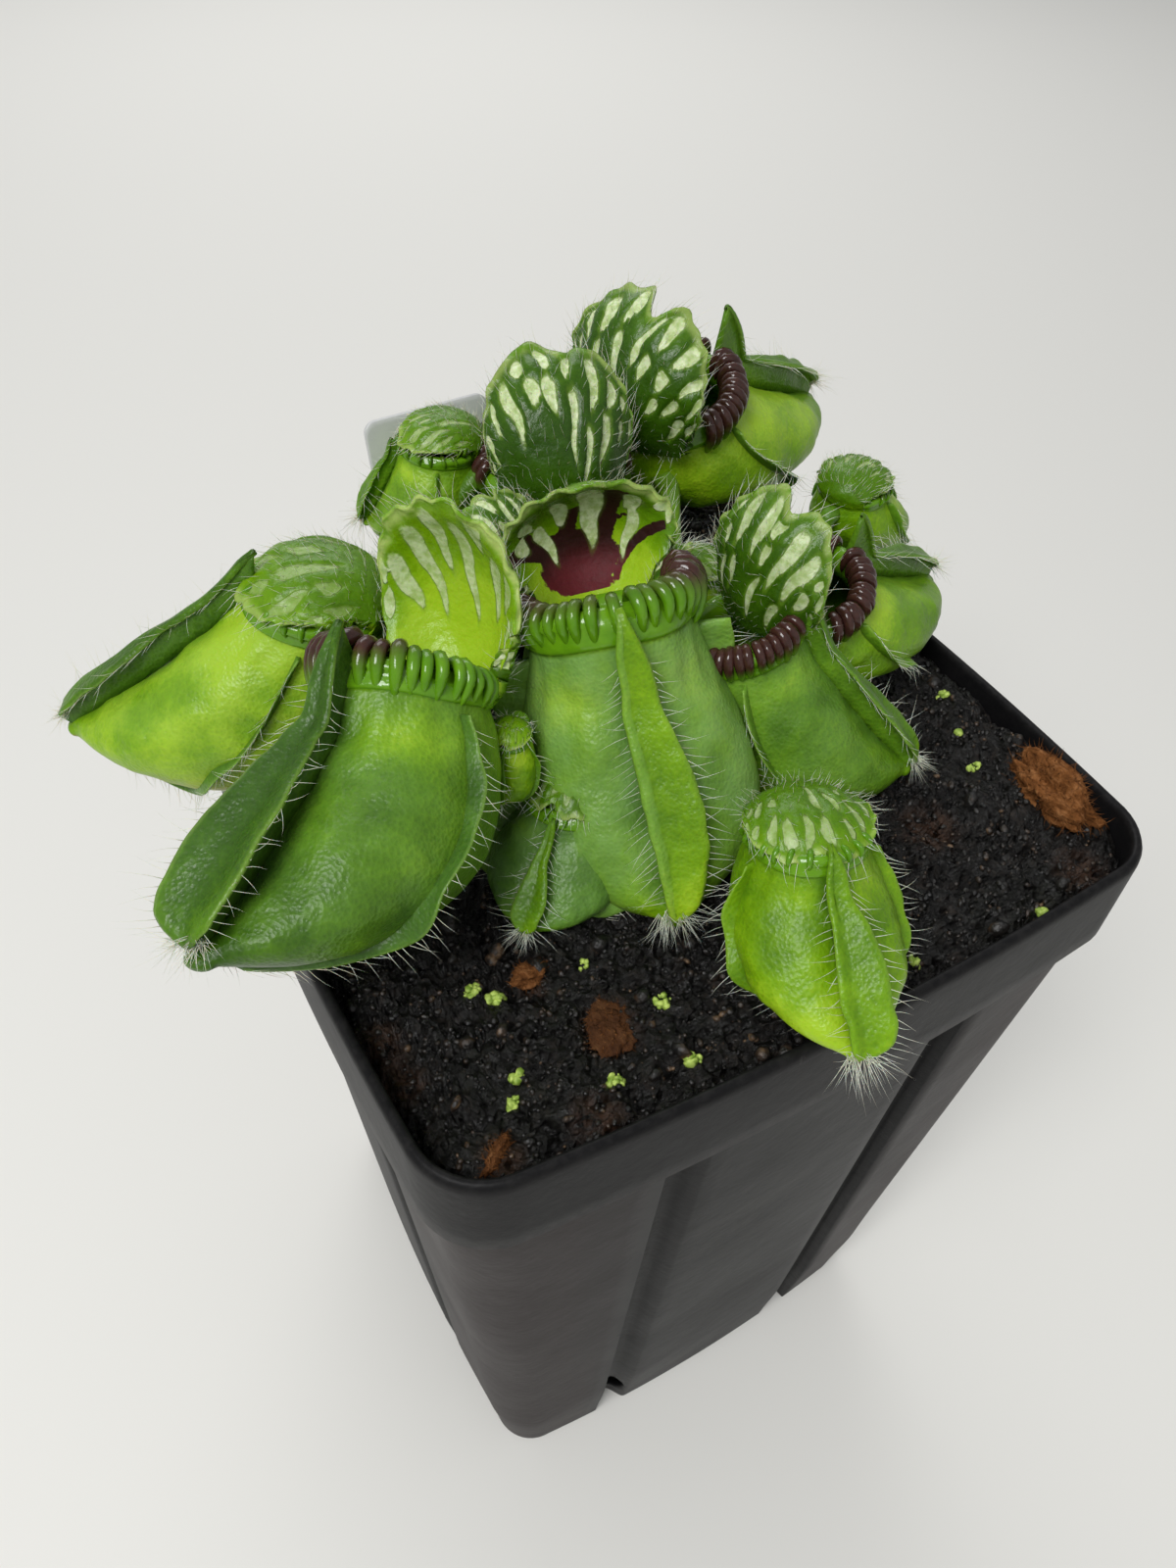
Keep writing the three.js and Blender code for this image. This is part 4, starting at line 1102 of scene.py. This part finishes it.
def placement(plant):  # the pitcher's matrix, from its own frame at scale 1 to the pot's
    turn = Matrix.Rotation(math.radians(plant["yaw"] - 90), 4, "Z")
    turn = turn @ Matrix.Rotation(math.radians(plant["pitch"]), 4, "X")
    turn = turn @ Matrix.Rotation(math.radians(plant["roll"]), 4, "Y") @ Matrix.Scale(plant["scale"], 4)
    return np.array(Matrix.Translation(plant["mouth"]) @ turn)


def toWorld(points, matrix):
    return points @ matrix[:3, :3].T + matrix[:3, 3]


def pouchCentre(plant, r):  # the middle of the pouch's section at ring r, and from it to the front
    lip, (tip, drop) = pitcher["mouthRadius"], plant["toe"]
    forward = (tip - lip) / (pitcher["front"][-1][0] - lip)
    down = -drop / pitcher["front"][-1][1]
    sides = []
    for line in (pitcher["front"], pitcher["back"]):
        y, z = np.moveaxis(through(line, np.clip(r, 0, 6)), -1, 0)
        sway = plant["sway"] * smooth(np.clip(r, 0, 6) / 6)
        sides.append(np.stack([sway, np.where(y > lip, lip + (y - lip) * forward, y), z * down], -1))
    return (sides[0] + sides[1]) / 2, (sides[0] - sides[1]) / 2


def pouch(plant, r, angle, grow=0.0):  # the pouch's surface: r from 0 at the lip to 7 at the toe's end
    r, angle = np.broadcast_arrays(np.asarray(r, float), np.asarray(angle, float))
    centre, across = pouchCentre(plant, r)
    reach = np.linalg.norm(across, axis=-1)
    shrink = np.sqrt(np.clip(1 - np.clip(r - 6, 0, 1) ** 2, 0, 1))
    push = np.clip(r - 6, 0, 1)[..., None] * unit(np.array(pitcher["toePush"])) * 1.1
    taper = 1 - plant["taper"] * smooth((r - 3.6) / 1.8)
    width = through(pitcher["halfWidths"], np.clip(r, 0, 6)) * taper + grow
    point = centre + push + across * ((1 + grow / reach) * shrink * np.cos(angle))[..., None]
    point[..., 0] += np.sin(angle) * width * shrink
    lean = np.radians(plant["tilt"]) * (1 - smooth(r / 1.2))
    y = point[..., 1] * np.cos(lean) - point[..., 2] * np.sin(lean)
    z = point[..., 1] * np.sin(lean) + point[..., 2] * np.cos(lean)
    return np.stack([point[..., 0], y, z], -1)


def inMouth(plant, points):  # from the mouth's own flat frame to the pitcher's
    return turned(points, plant["tilt"], "X")


def makePouch(skin, plant):
    columns = plant["around"]
    angle = np.linspace(-pi, pi, columns, endpoint=False)
    front = smooth((pitcher["lipWidth"] - np.abs(angle)) / 0.5)
    collar = pitcher["collar"]
    rows, kinds = [], []  # a row's kind: 1 for the lip and 1 for the inside wall
    for r in np.linspace(4.4, 1.0, 8):
        rows.append(pouch(plant, r, angle, -1.1))
        kinds.append((0, 1))
    flare = 0.05 * np.cos(angle * 3 + plant["seed"])
    for radius, low, rise in pitcher["lip"]:
        radius = radius * (1 + flare * front * smooth((radius - 7) / 2))
        flat = np.stack([np.sin(angle) * radius, np.cos(angle) * radius, low + rise * front], -1)
        rows.append(inMouth(plant, flat))
        kinds.append((1, 0))
    wavy = collar * (1 + 0.05 * np.sin(angle * 4 + plant["seed"])) * (0.35 + 0.65 * front)
    for share, grow in pitcher["collarRings"]:
        rows.append(pouch(plant, wavy * share, angle, grow * front))
        kinds.append((1, 0))
    kinds.append((0, 0))
    rows.append(pouch(plant, wavy * 1.01, angle, 0.0))
    body = np.linspace(collar + 0.06, 5.8, plant["around"] * 5 // 8)
    body = np.concatenate([body, pitcher["toeRows"]])
    start = len(rows)
    for r in body:
        rows.append(pouch(plant, wavy + (r - collar) * (7 - wavy) / (7 - collar), angle))
        kinds.append((0, 0))
    grid = np.array(rows)
    normal = gridNormals(grid, True)
    outwards = np.sign((normal[start + 20] * (grid[start + 20] - grid[start + 20].mean(0))).sum())
    normal = normal * outwards
    r = np.concatenate([np.zeros(start), body])[:, None]
    middle = np.sin(pi * np.clip((r - 0.6) / 5.0, 0, 1))
    side = np.abs(angle)[None]
    relief = (hump(side, 0.85, 0.5) - 0.9 * hump(angle[None], 0, 0.24)) * middle
    fold = np.abs(rough(grid, 7.0, plant["seed"], 2)) * -1.6 + 0.35
    dents = rough(grid, 4.2, plant["seed"] + 3, 3) * 0.55
    pucker = np.sin(side * 16 + 3 * rough(grid, 6, plant["seed"] + 6, 2)) * 0.16 * hump(r, 1.0, 0.5)
    relief = relief + (fold * 0.45 + dents) * np.clip(middle * 1.4, 0, 1) + pucker
    relief = relief * (r > 0)
    grid = grid + normal * relief[..., None]
    kinds = np.array(kinds)
    glossy = kinds[:, :1] * np.ones(columns)
    share = smooth((r - 1) / 4.5)
    tone = plant["tone"] + (plant["toeTone"] - plant["tone"]) * share
    tone = tone + 0.26 * hump(r, 1.1, 0.6) * hump(side, 0.75, 0.5)
    # painted shade: a darker stripe down the front, under the front wing
    tone = tone - 0.18 * hump(angle[None], 0, 0.16) * (r > 0)
    # painted shade: the tone follows the folds, darker in their creases and lighter on their ridges; it is
    # also darker towards the back
    tone = tone + 0.25 * (fold + 0.2) - 0.14 * smooth((side - 1.9) / 1.0)
    tone = np.where(glossy > 0, 0.85, tone) * np.ones(columns)
    # painted shade: the inside wall is darker than the outside
    tone = tone - 0.20 * kinds[:, 1:]
    # waxy bloom with a painted sheen: pale on the upper lobes, fading towards the toe and the back
    bloom = plant["bloom"] * (1 - smooth((r - 3.6) / 2.2)) * (r > 0) * smooth((2.2 - side) / 0.8)
    warm = plant["warm"] * smooth((side - 1.25) / 0.9) * smooth((r - 2.5) / 2.0)
    values = {"tone": tone, "bloom": bloom, "warm": warm, "gloss": glossy}
    skin.grid(grid, closed=True, ends=(True, True), paint=0, **values)
    lipped = (kinds[:-1, 0] > 0) | (kinds[1:, 0] > 0)
    quads = len(grid) - 1
    first = len(skin.paints) - quads * columns - 2 * columns
    for row in np.nonzero(lipped)[0]:
        at = first + row * columns
        skin.paints[at:at + columns] = [2] * columns


def makeFrontWing(skin, plant, matrix):  # a stem along the pouch's front with a sheet across its crest
    steps = plant["around"] // 2
    share = np.linspace(0, 1, steps)
    root = pouch(plant, 0.10 + 5.85 * share, 0.0) + np.array([0, 1, 1]) * 0.2
    tangent = unit(np.gradient(root, axis=0))
    outward = np.cross([1.0, 0, 0], tangent)
    rise = plant["wingHeight"] * through(pitcher["wingRise"], share * 6)
    up = inMouth(plant, np.array([[0, plant["flapLean"], 1.0]]))
    crest = root + outward * rise[:, None] + up * (plant["flap"] * (1 - smooth(share / 0.22)))[:, None]
    crest = crest + tangent * (plant["beyond"] * smooth((share - 0.7) / 0.3))[:, None]
    weave = rough(crest, 5, plant["seed"] + 20, 2)
    crest[:, 0] += weave * 0.9
    sideways = np.array([1.0, 0, 0])
    inner = root - outward * 1.0
    stem = np.stack([inner + (crest - inner) * k for k in (0, 0.35, 0.7, 1.0)], 1)
    thick = np.array([0.55, 0.40, 0.30, 0.30])[None, :, None] * sideways
    # the bloom here is the waxy bloom with a painted sheen
    wingTone = {"tone": plant["wingTone"] + 0.1, "bloom": plant["bloom"] * 0.4}
    skin.plate(stem + thick, stem - thick, 0, wingTone)
    across = np.linspace(-1, 1, 17)
    end = np.sqrt(1 - np.clip((share - 0.86) / 0.14, 0, 0.995) ** 2)
    peak = smooth(share / 0.10) * 0.85 + 0.15
    left, right = plant["wing"]
    outline = through(plant["wingShape"], share * 6) * end * peak
    width = np.where(across < 0, left, right)[None] * outline[:, None]
    beside = np.abs(across)[None]
    places = np.stack(np.broadcast_arrays(share[:, None] * 9, across[None] * 0.7, width), -1)
    ripple = rough(places, 1.0, plant["seed"] + 22, 2)
    lift = 0.55 * (plant["channel"] * beside**1.4 * width + ripple * beside) - 0.35 * hump(beside, 1, 0.12)
    sheet = crest[:, None] + (across[None] * width)[..., None] * sideways
    sheet = sheet + outward[:, None] * lift[..., None]
    normal = gridNormals(sheet)
    normal = normal * np.sign((normal * outward[:, None]).sum(-1, keepdims=True))
    thin = (0.34 * (1 - 0.6 * beside**3) * np.sqrt(end)[:, None] + 0.04)[..., None]
    edge = smooth((beside - 0.86) / 0.12) * 0.7 * np.ones((steps, 1))
    tone = plant["wingTone"] + 0.10 * beside + 0.18 * smooth((share - 0.6) / 0.4)[:, None]
    # waxy bloom with a painted sheen on one half of the wing, fading across to the other edge
    bloom = plant["bloom"] * 0.5 * smooth((across + 0.1) / 0.5)[None]
    over = {"tone": tone, "bloom": bloom, "edge": edge, "gloss": 0.2}
    skin.plate(sheet + normal * thin, sheet - normal * thin, 0, over)
    hairy = slice(steps // 9, None)
    for column, sign in ((0, -1), (-1, 1)):
        lean = sign * sideways + outward[hairy] * 0.35 + tangent[hairy] * 0.30
        growHairs(edgeHairs, plant, matrix, sheet[hairy, column], lean, 0.65 + 0.5 * share[hairy])
    tip = crest[-1]
    for k in range(6):
        turn = k * pi / 3
        side = sideways * np.cos(turn) * 0.35 * max(left, right) + outward[-1] * np.sin(turn) * 0.5
        line = np.array([tip - tangent[-1] * 1.3 + side, tip - tangent[-1] * 0.1 + side * 0.6])
        lean = tangent[-1] * 0.8 + outward[-1] * (0.2 + 0.4 * np.sin(turn)) + sideways * np.cos(turn) * 0.55
        growHairs(tuftHairs, plant, matrix, line, lean, plant["tuft"])


def growHairs(lines, plant, matrix, line, lean, reach):  # lines of hairs, in the pitcher's frame
    line = toWorld(np.asarray(line), matrix)
    lean = unit(np.broadcast_to(lean, line.shape)) @ (matrix[:3, :3].T / plant["scale"])
    reach = np.broadcast_to(reach, (len(line),)) * (0.45 + 0.55 * plant["scale"])
    lines.add(line, {"lean": lean}, reach=reach)


def makeSideWings(skin, plant, matrix):
    steps = plant["around"] * 2 // 5
    share = np.linspace(0, 1, steps)
    for hand in (-1, 1):
        swing = 1.36 + 0.22 * share + 1.15 * smooth((share - 0.5) / 0.5)
        r = 0.66 + 5.0 * share
        root = pouch(plant, r, hand * swing, 0.15)
        centre, _ = pouchCentre(plant, r)
        out = unit(root - centre)
        tangent = unit(np.gradient(root, axis=0))
        aside = unit(np.cross(out, tangent))
        uneven = rough(np.stack([share * 7, share * 0, share * 0 + hand], -1), 1, plant["seed"] + 30, 2)
        width = plant["side"] * through(plant["sideShape"], share * 6) * (1 + 0.5 * uneven)
        across = np.linspace(0, 1, 8)
        bow = 0.48 * np.sin(share * 9 + plant["seed"] + hand)[:, None] * across[None] ** 2
        sheet = root[:, None] + out[:, None] * (across[None] * (width + 0.8)[:, None] - 0.8)[..., None]
        sheet = sheet + aside[:, None] * bow[..., None]
        thin = ((0.34 * (1 - 0.65 * across**2))[None] * np.ones((steps, 1)))[..., None] * aside[:, None]
        edge = smooth((across - 0.88) / 0.1)[None] * 0.55 * np.ones((steps, 1))
        tone = plant["wingTone"] + 0.06 + 0.1 * across[None]
        # the bloom here is the waxy bloom with a painted sheen
        skin.plate(sheet + thin, sheet - thin, 0, {"tone": tone, "bloom": plant["bloom"] * 0.9, "edge": edge})
        growHairs(edgeHairs, plant, matrix, sheet[2:, -1], out[2:] + tangent[2:] * 0.35, 0.75)


def lidSurface(plant, across, along):  # the lid's inner face: across in half-widths, along from hinge to tip
    rise, length, half = plant["lid"]
    curl = math.radians(pitcher["lidCurl"])
    start = math.radians(rise) + curl / 2
    lean = start - curl * along
    y = plant["slide"] - pitcher["mouthRadius"] + length / curl * (np.sin(start) - np.sin(lean))
    z = 0.6 + length / curl * (np.cos(lean) - np.cos(start))
    dome = pitcher["lidDome"] * 1.25 * plant["dome"] * smooth(1 - across**2 - ((along - 0.5) / 0.68) ** 2)
    u = np.clip(across / 0.8, -1, 1)
    wrap = (1 - np.sqrt(1 - 0.5 * u * u)) * pitcher["mouthRadius"] * 1.1 * np.clip(1 - along * 1.6, 0, 1)
    return np.stack([half * across, y + wrap - dome * np.sin(lean), z + dome * np.cos(lean)], -1)


def lidWindows(plant, chance):  # clear patches in columns between the veins
    found = []
    columns = plant["columns"]
    for k in range(columns):
        middle = (k - (columns - 1) / 2) * 2 / columns * 0.97
        high = 0.97 - 0.07 * chance.random()
        low = 0.40 + 0.10 * abs(middle) + 0.28 * chance.random()
        while high > low:
            tall = min(chance.uniform(0.05, 0.22), (high - 0.14) / 2)
            wide = 0.52 / columns * (0.7 + 0.5 * chance.random()) * min(1, 0.45 + tall / 0.12)
            found.append((middle + chance.uniform(-0.02, 0.02), high - tall, wide, tall))
            high = high - 2 * tall - chance.uniform(0.03, 0.08)
    return found


def windowField(fan, rise, windows):  # above 0 inside a clear patch, down to -1 away from it
    field = np.full(np.broadcast(fan, rise).shape, -1.0)
    for at, up, wide, tall in windows:
        bend = 0.012 * np.sin(rise * 19 + at * 31) + 0.05 * at * (rise - up)
        taper = 1 + 0.35 * np.clip((up - rise) / tall, -1, 1)
        away = np.abs((fan - at - bend) / wide * taper) ** 2.2 + np.abs((rise - up) / tall) ** 2.6
        field = np.maximum(field, 1 - away)
    return np.clip(field, -1, 1)


# The dark blotch at the foot of the front pitcher's lid: centre and half-sizes; and the branches from it up
# to the rim: both ends' place across and up, and half-width.
maroon = {
    "blotch": (0.10, 0.20, 0.46, 0.30),
    "branches": [(0.24, 0.18, 0.62, 0.80, 0.080), (0.38, 0.42, 0.40, 0.80, 0.034),
                 (0.17, 0.28, 0.05, 0.70, 0.068), (0.20, 0.34, 0.22, 0.52, 0.085),
                 (-0.17, 0.05, -0.20, 0.93, 0.066), (-0.24, 0.56, -0.38, 0.66, 0.024),
                 (-0.34, 0.10, -0.60, 0.84, 0.046), (-0.86, 0.70, -0.90, 0.92, 0.035),
                 (0.93, 0.45, 0.99, 0.85, 0.03)],
}


def maroonField(fan, rise):
    atFan, atRise, halfFan, halfRise = maroon["blotch"]
    field = 1 - ((fan - atFan) / halfFan) ** 2 - ((rise - atRise) / halfRise) ** 2
    for fromFan, fromRise, toFan, toRise, wide in maroon["branches"]:
        share = np.clip((rise - fromRise) / (toRise - fromRise), 0, 1)
        branch = 1 - np.abs(fan - fromFan - (toFan - fromFan) * share) / wide
        ends = np.minimum((rise - fromRise + 0.05) / 0.06, (toRise - rise) / 0.06)
        field = np.maximum(field, np.minimum(branch, ends))
    return np.clip(field, -1, 1)


def makeLid(skin, plant, matrix):
    chance = np.random.default_rng(plant["seed"])
    fan = np.linspace(-1, 1, plant["across"])[None]
    rise = np.concatenate([np.linspace(0, 0.9, plant["across"] // 3), np.linspace(0.915, 1, 9)])[:, None]
    theta = fan * math.radians(pitcher["lidFan"])
    notch = plant["notch"] * hump(fan, 0.04, 0.06)
    scallop = 0.012 * np.sin(fan * 29 + plant["seed"]) + 0.010 * np.sin(fan * 53)
    rimAcross = np.sin(theta) * (1 + scallop)
    rimAlong = 0.47 + (0.53 + scallop) * np.cos(theta) - notch
    across = 0.72 * fan + (rimAcross - 0.72 * fan) * rise
    along = -0.02 + (rimAlong + 0.02) * rise
    inner = lidSurface(plant, across, along)
    normal = gridNormals(inner)
    lean = math.radians(plant["lid"][0])
    outside = np.array([0, -math.sin(lean), math.cos(lean)])
    normal = normal * np.sign((normal * outside).sum(-1, keepdims=True).mean())
    roll = smooth((rise - 0.88) / 0.12) ** 1.5
    places = np.stack(np.broadcast_arrays(fan * 8, rise * 2, 0.0), -1)
    waves = 0.30 * np.sin(fan * 41 + plant["seed"]) + 0.9 * rough(places, 1.0, plant["seed"] + 50, 2)
    inner = inner + normal * (roll * (0.55 + waves * 0.8))[..., None]
    windows = plant["windows"] or lidWindows(plant, chance)
    window = windowField(fan, rise, windows)
    outer = windowField(fan, rise, lidWindows(plant, chance))
    body = smooth(rise / 0.12)
    thick = 0.85 - 0.55 * smooth((rise - 0.82) / 0.18) + 0 * fan
    ridge = 0.42 * smooth((0.25 - outer) / 0.9) * body * (1 - 0.6 * roll)
    ripples = 0.30 * rough(inner, 2.6, plant["seed"] + 53, 2) * body
    back = inner + normal * (thick + ridge + ripples)[..., None]
    sink = 0.10 * smooth((0.2 - window) / 0.6) * body * (1 - roll)
    face = inner - normal * sink[..., None]
    ends = []
    for surface, radius, drop in ((face, 7.25, 3.4), (back, 8.9, 1.8)):
        base = surface[0]
        x = np.clip(base[:, 0] * 0.97, -radius + 0.9, radius - 0.9)
        deep = np.stack([x, -np.sqrt(radius**2 - x**2), x * 0 - drop], -1)
        ends.append(np.array([deep + (base - deep) * smooth(k) for k in (0, 0.2, 0.42, 0.64, 0.84)]))
    extra = len(ends[0])
    face = inMouth(plant, np.concatenate([ends[0], face]))
    back = inMouth(plant, np.concatenate([ends[1], back]))

    def pad(field, value):  # a value of the lid's points, with one for the rows that reach into the pouch
        return np.concatenate([np.full((extra, fan.shape[1]), value), np.broadcast_to(field, window.shape)])

    dark = -1.0
    faceTone = 1.0 - 0.50 * smooth((rise - 0.25) / 0.6) + 0.15 * smooth(np.abs(fan) - 0.5)
    if plant["face"] == "maroon":
        dark = maroonField(fan, rise)
    elif plant["face"] == "green":
        dark = 1.1 * hump(fan, 0.0, 0.014) * hump(rise, 0.40, 0.10) - 0.75
        faceTone = faceTone + 0.25
    velvet = smooth((0.42 - rise) / 0.30)
    rim = smooth((rise - 0.925) / 0.05)
    over = {"tone": pad(faceTone, 0.98), "window": pad(window, -1), "maroon": pad(dark, -1),
            "velvet": pad(velvet, 0), "rim": pad(rim, 0), "clear": plant["faceClear"]}
    backTone = plant["lidTone"] + 0.16 * smooth((rise - 0.6) / 0.4)
    backTone = backTone - 0.12 * smooth((0.5 - np.abs(outer)) / 0.5)
    under = {"tone": pad(backTone, plant["lidTone"] + 0.2), "window": pad(outer, -1), "maroon": -1.0,
             "rim": pad(rim * 0.55, 0), "clear": plant["clear"]}
    skin.plate(face, back, 1, over, under)
    tops = back[extra:]
    out = inMouth(plant, normal)
    upward = unit(np.gradient(tops, axis=0))
    size = tops.shape[1]
    for k in range(2, size - 2, size // 22):
        growHairs(lidHairs, plant, matrix, tops[3:-6, k], out[3:-6, k] + upward[3:-6, k] * 0.9, 1.0)
    growHairs(edgeHairs, plant, matrix, tops[-1, 4:-4], upward[-1, 4:-4] + out[-1, 4:-4] * 0.25, 0.75)


def makeStalk(skin, plant, matrix):  # from behind the mouth down into the peat, laid out in the pot's frame
    inset = pitcher["mouthRadius"] + 0.6
    side = np.sign(plant["bend"][0]) * 0.6 if plant["bend"] else 0.0
    drop = pitcher["stalkDrop"] + pitcher["mouthRadius"] * math.sin(math.radians(max(plant["tilt"], 0)))
    root = np.array([side * inset, -inset * math.sqrt(1 - side * side), -drop])
    bow = plant["bend"] or (0, -pitcher["mouthRadius"] - 3.2, -drop - 0.5)
    root, bow = toWorld(np.array([root, bow]), matrix)
    x, y = plant["foot"]
    ground = float(peatLevel(x, y))
    fall = [bow[0] + (x - bow[0]) * 0.65, bow[1] + (y - bow[1]) * 0.65, (bow[2] + ground) / 2]
    path = through([root, bow, fall, [x, y, ground - 2]], np.linspace(0, 3, 28))
    along = unit(np.gradient(path, axis=0))
    aside = unit(np.cross(along, [0.05, 0.02, 1.0]))
    up = np.cross(aside, along)
    turn = np.linspace(0, 2 * pi, 14, endpoint=False)[None, :, None]
    knots = 1 + 0.12 * np.sin(np.linspace(0, 9, len(path)))
    radius = (pitcher["stalkRadius"] * max(0.75, plant["scale"]) * knots)[:, None, None]
    rings = path[:, None] + radius * (np.cos(turn) * aside[:, None] + np.sin(turn) * up[:, None])
    back = (rings - matrix[:3, 3]) @ np.linalg.inv(matrix[:3, :3]).T
    # the bloom here is the waxy bloom with a painted sheen
    skin.grid(back, closed=True, ends=(True, True), tone=plant["tone"] * 0.8, bloom=0.2)


def makeRibs(plant, matrix):  # lines for the ribs round the lip, crowded at both ends
    chance = np.random.default_rng(plant["seed"] + 70)
    count = plant["ribs"]
    sizes, tints = [np.broadcast_to(plant[name], 7) for name in ("ribSizes", "ribTints")]
    for k in range(count):
        place = 2 * k / (count - 1) - 1
        angle = pitcher["ribSpan"] * np.sign(place) * abs(place) ** 0.86 + chance.uniform(-0.03, 0.03)
        if abs(angle) < 0.10 and plant["flap"] > 2:
            continue
        big = through(sizes, k / (count - 1) * 6) * chance.uniform(0.85, 1.15)
        dark = through(tints, k / (count - 1) * 6)
        end = smooth(abs(place) * 4 - 2.8)
        tall = 0.35 + 0.65 * big
        out = 0.35 * (big - 0.9)
        inner = chance.uniform(0.75, 1.15)
        profile = np.array([
            (8.85, -2.5 * tall), (9.40 + out, -1.35 * tall), (9.85 + out, 0.1 * tall),
            (9.45 + out, 1.20 * tall), (8.60, 1.80 * tall), (7.70 - 0.2 * end, 1.45 * tall),
            (7.00 - 0.4 * end, 0.4), (6.75 - 0.3 * end, -0.9 * inner),
        ])
        bunch = angle + np.linspace(0.06, -0.12, len(profile)) * (0.3 + end) * np.sign(place)
        flat = np.stack([np.sin(bunch) * profile[:, 0], np.cos(bunch) * profile[:, 0], profile[:, 1]], -1)
        line = toWorld(inMouth(plant, flat), matrix)
        thick = np.array(pitcher["ribThickness"]) * big**0.6 * plant["scale"]
        reach = np.linspace(0, 1, len(profile))
        tint = dark * (0.35 + 0.65 * smooth((reach - 0.05) / 0.4))
        tint = tint + 0.25 * hump(reach, 0.55, 0.2) * (tints[3] > 0)
        ribLines.add(line, None, thick=thick * mm, tint=np.clip(tint, 0, 1), tone=0.85 - 0.25 * reach)


def makePitcher(node, plant):
    plant["around"] = int(24 + 80 * min(plant["scale"], 1))  # points round the pouch
    plant["across"] = int(21 + 76 * min(plant["scale"], 1))  # points across the lid
    matrix = placement(plant)
    skin = Skin()
    makePouch(skin, plant)
    makeFrontWing(skin, plant, matrix)
    makeSideWings(skin, plant, matrix)
    makeLid(skin, plant, matrix)
    makeStalk(skin, plant, matrix)
    makeRibs(plant, matrix)
    words = node.split("_")
    name = words[0] + "".join(word.title() for word in words[1:])
    slot = "leaf_green" if plant["tone"] < 0.6 else "leaf_young"
    tidy(skin.piece(name, [leafSkin, lidSkin, lipGloss], matrix), [node])


for node, wanted in plants.items():
    makePitcher(node, wanted)
    print(node, "ready")

# Hairs: the lines that they grow along, and their spacing, length and thickness in metres.
hairs = {
    "wingHairs": (edgeHairs, dict(Spacing=0.0007, Length=0.0040, Thick=0.00004, Spread=0.45, Seed=21)),
    "toeHairs": (tuftHairs, dict(Spacing=0.00011, Length=0.0036, Thick=0.000045, Spread=0.6, Seed=22)),
    "lidHairs": (lidHairs, dict(Spacing=0.0014, Length=0.0021, Thick=0.000035, Spread=0.4, Seed=23)),
}
tidy(makeRibTree().grow("lipRibs", ribLines.piece("ribLines"), Steps=15, Sides=10), None)
bristles = makeHairTree("bristles", hairStraw)
for name, (lines, sizes) in hairs.items():
    tidy(bristles.grow(name, lines.piece(name + "Lines"), **sizes), None)
print("ribs and hairs ready")
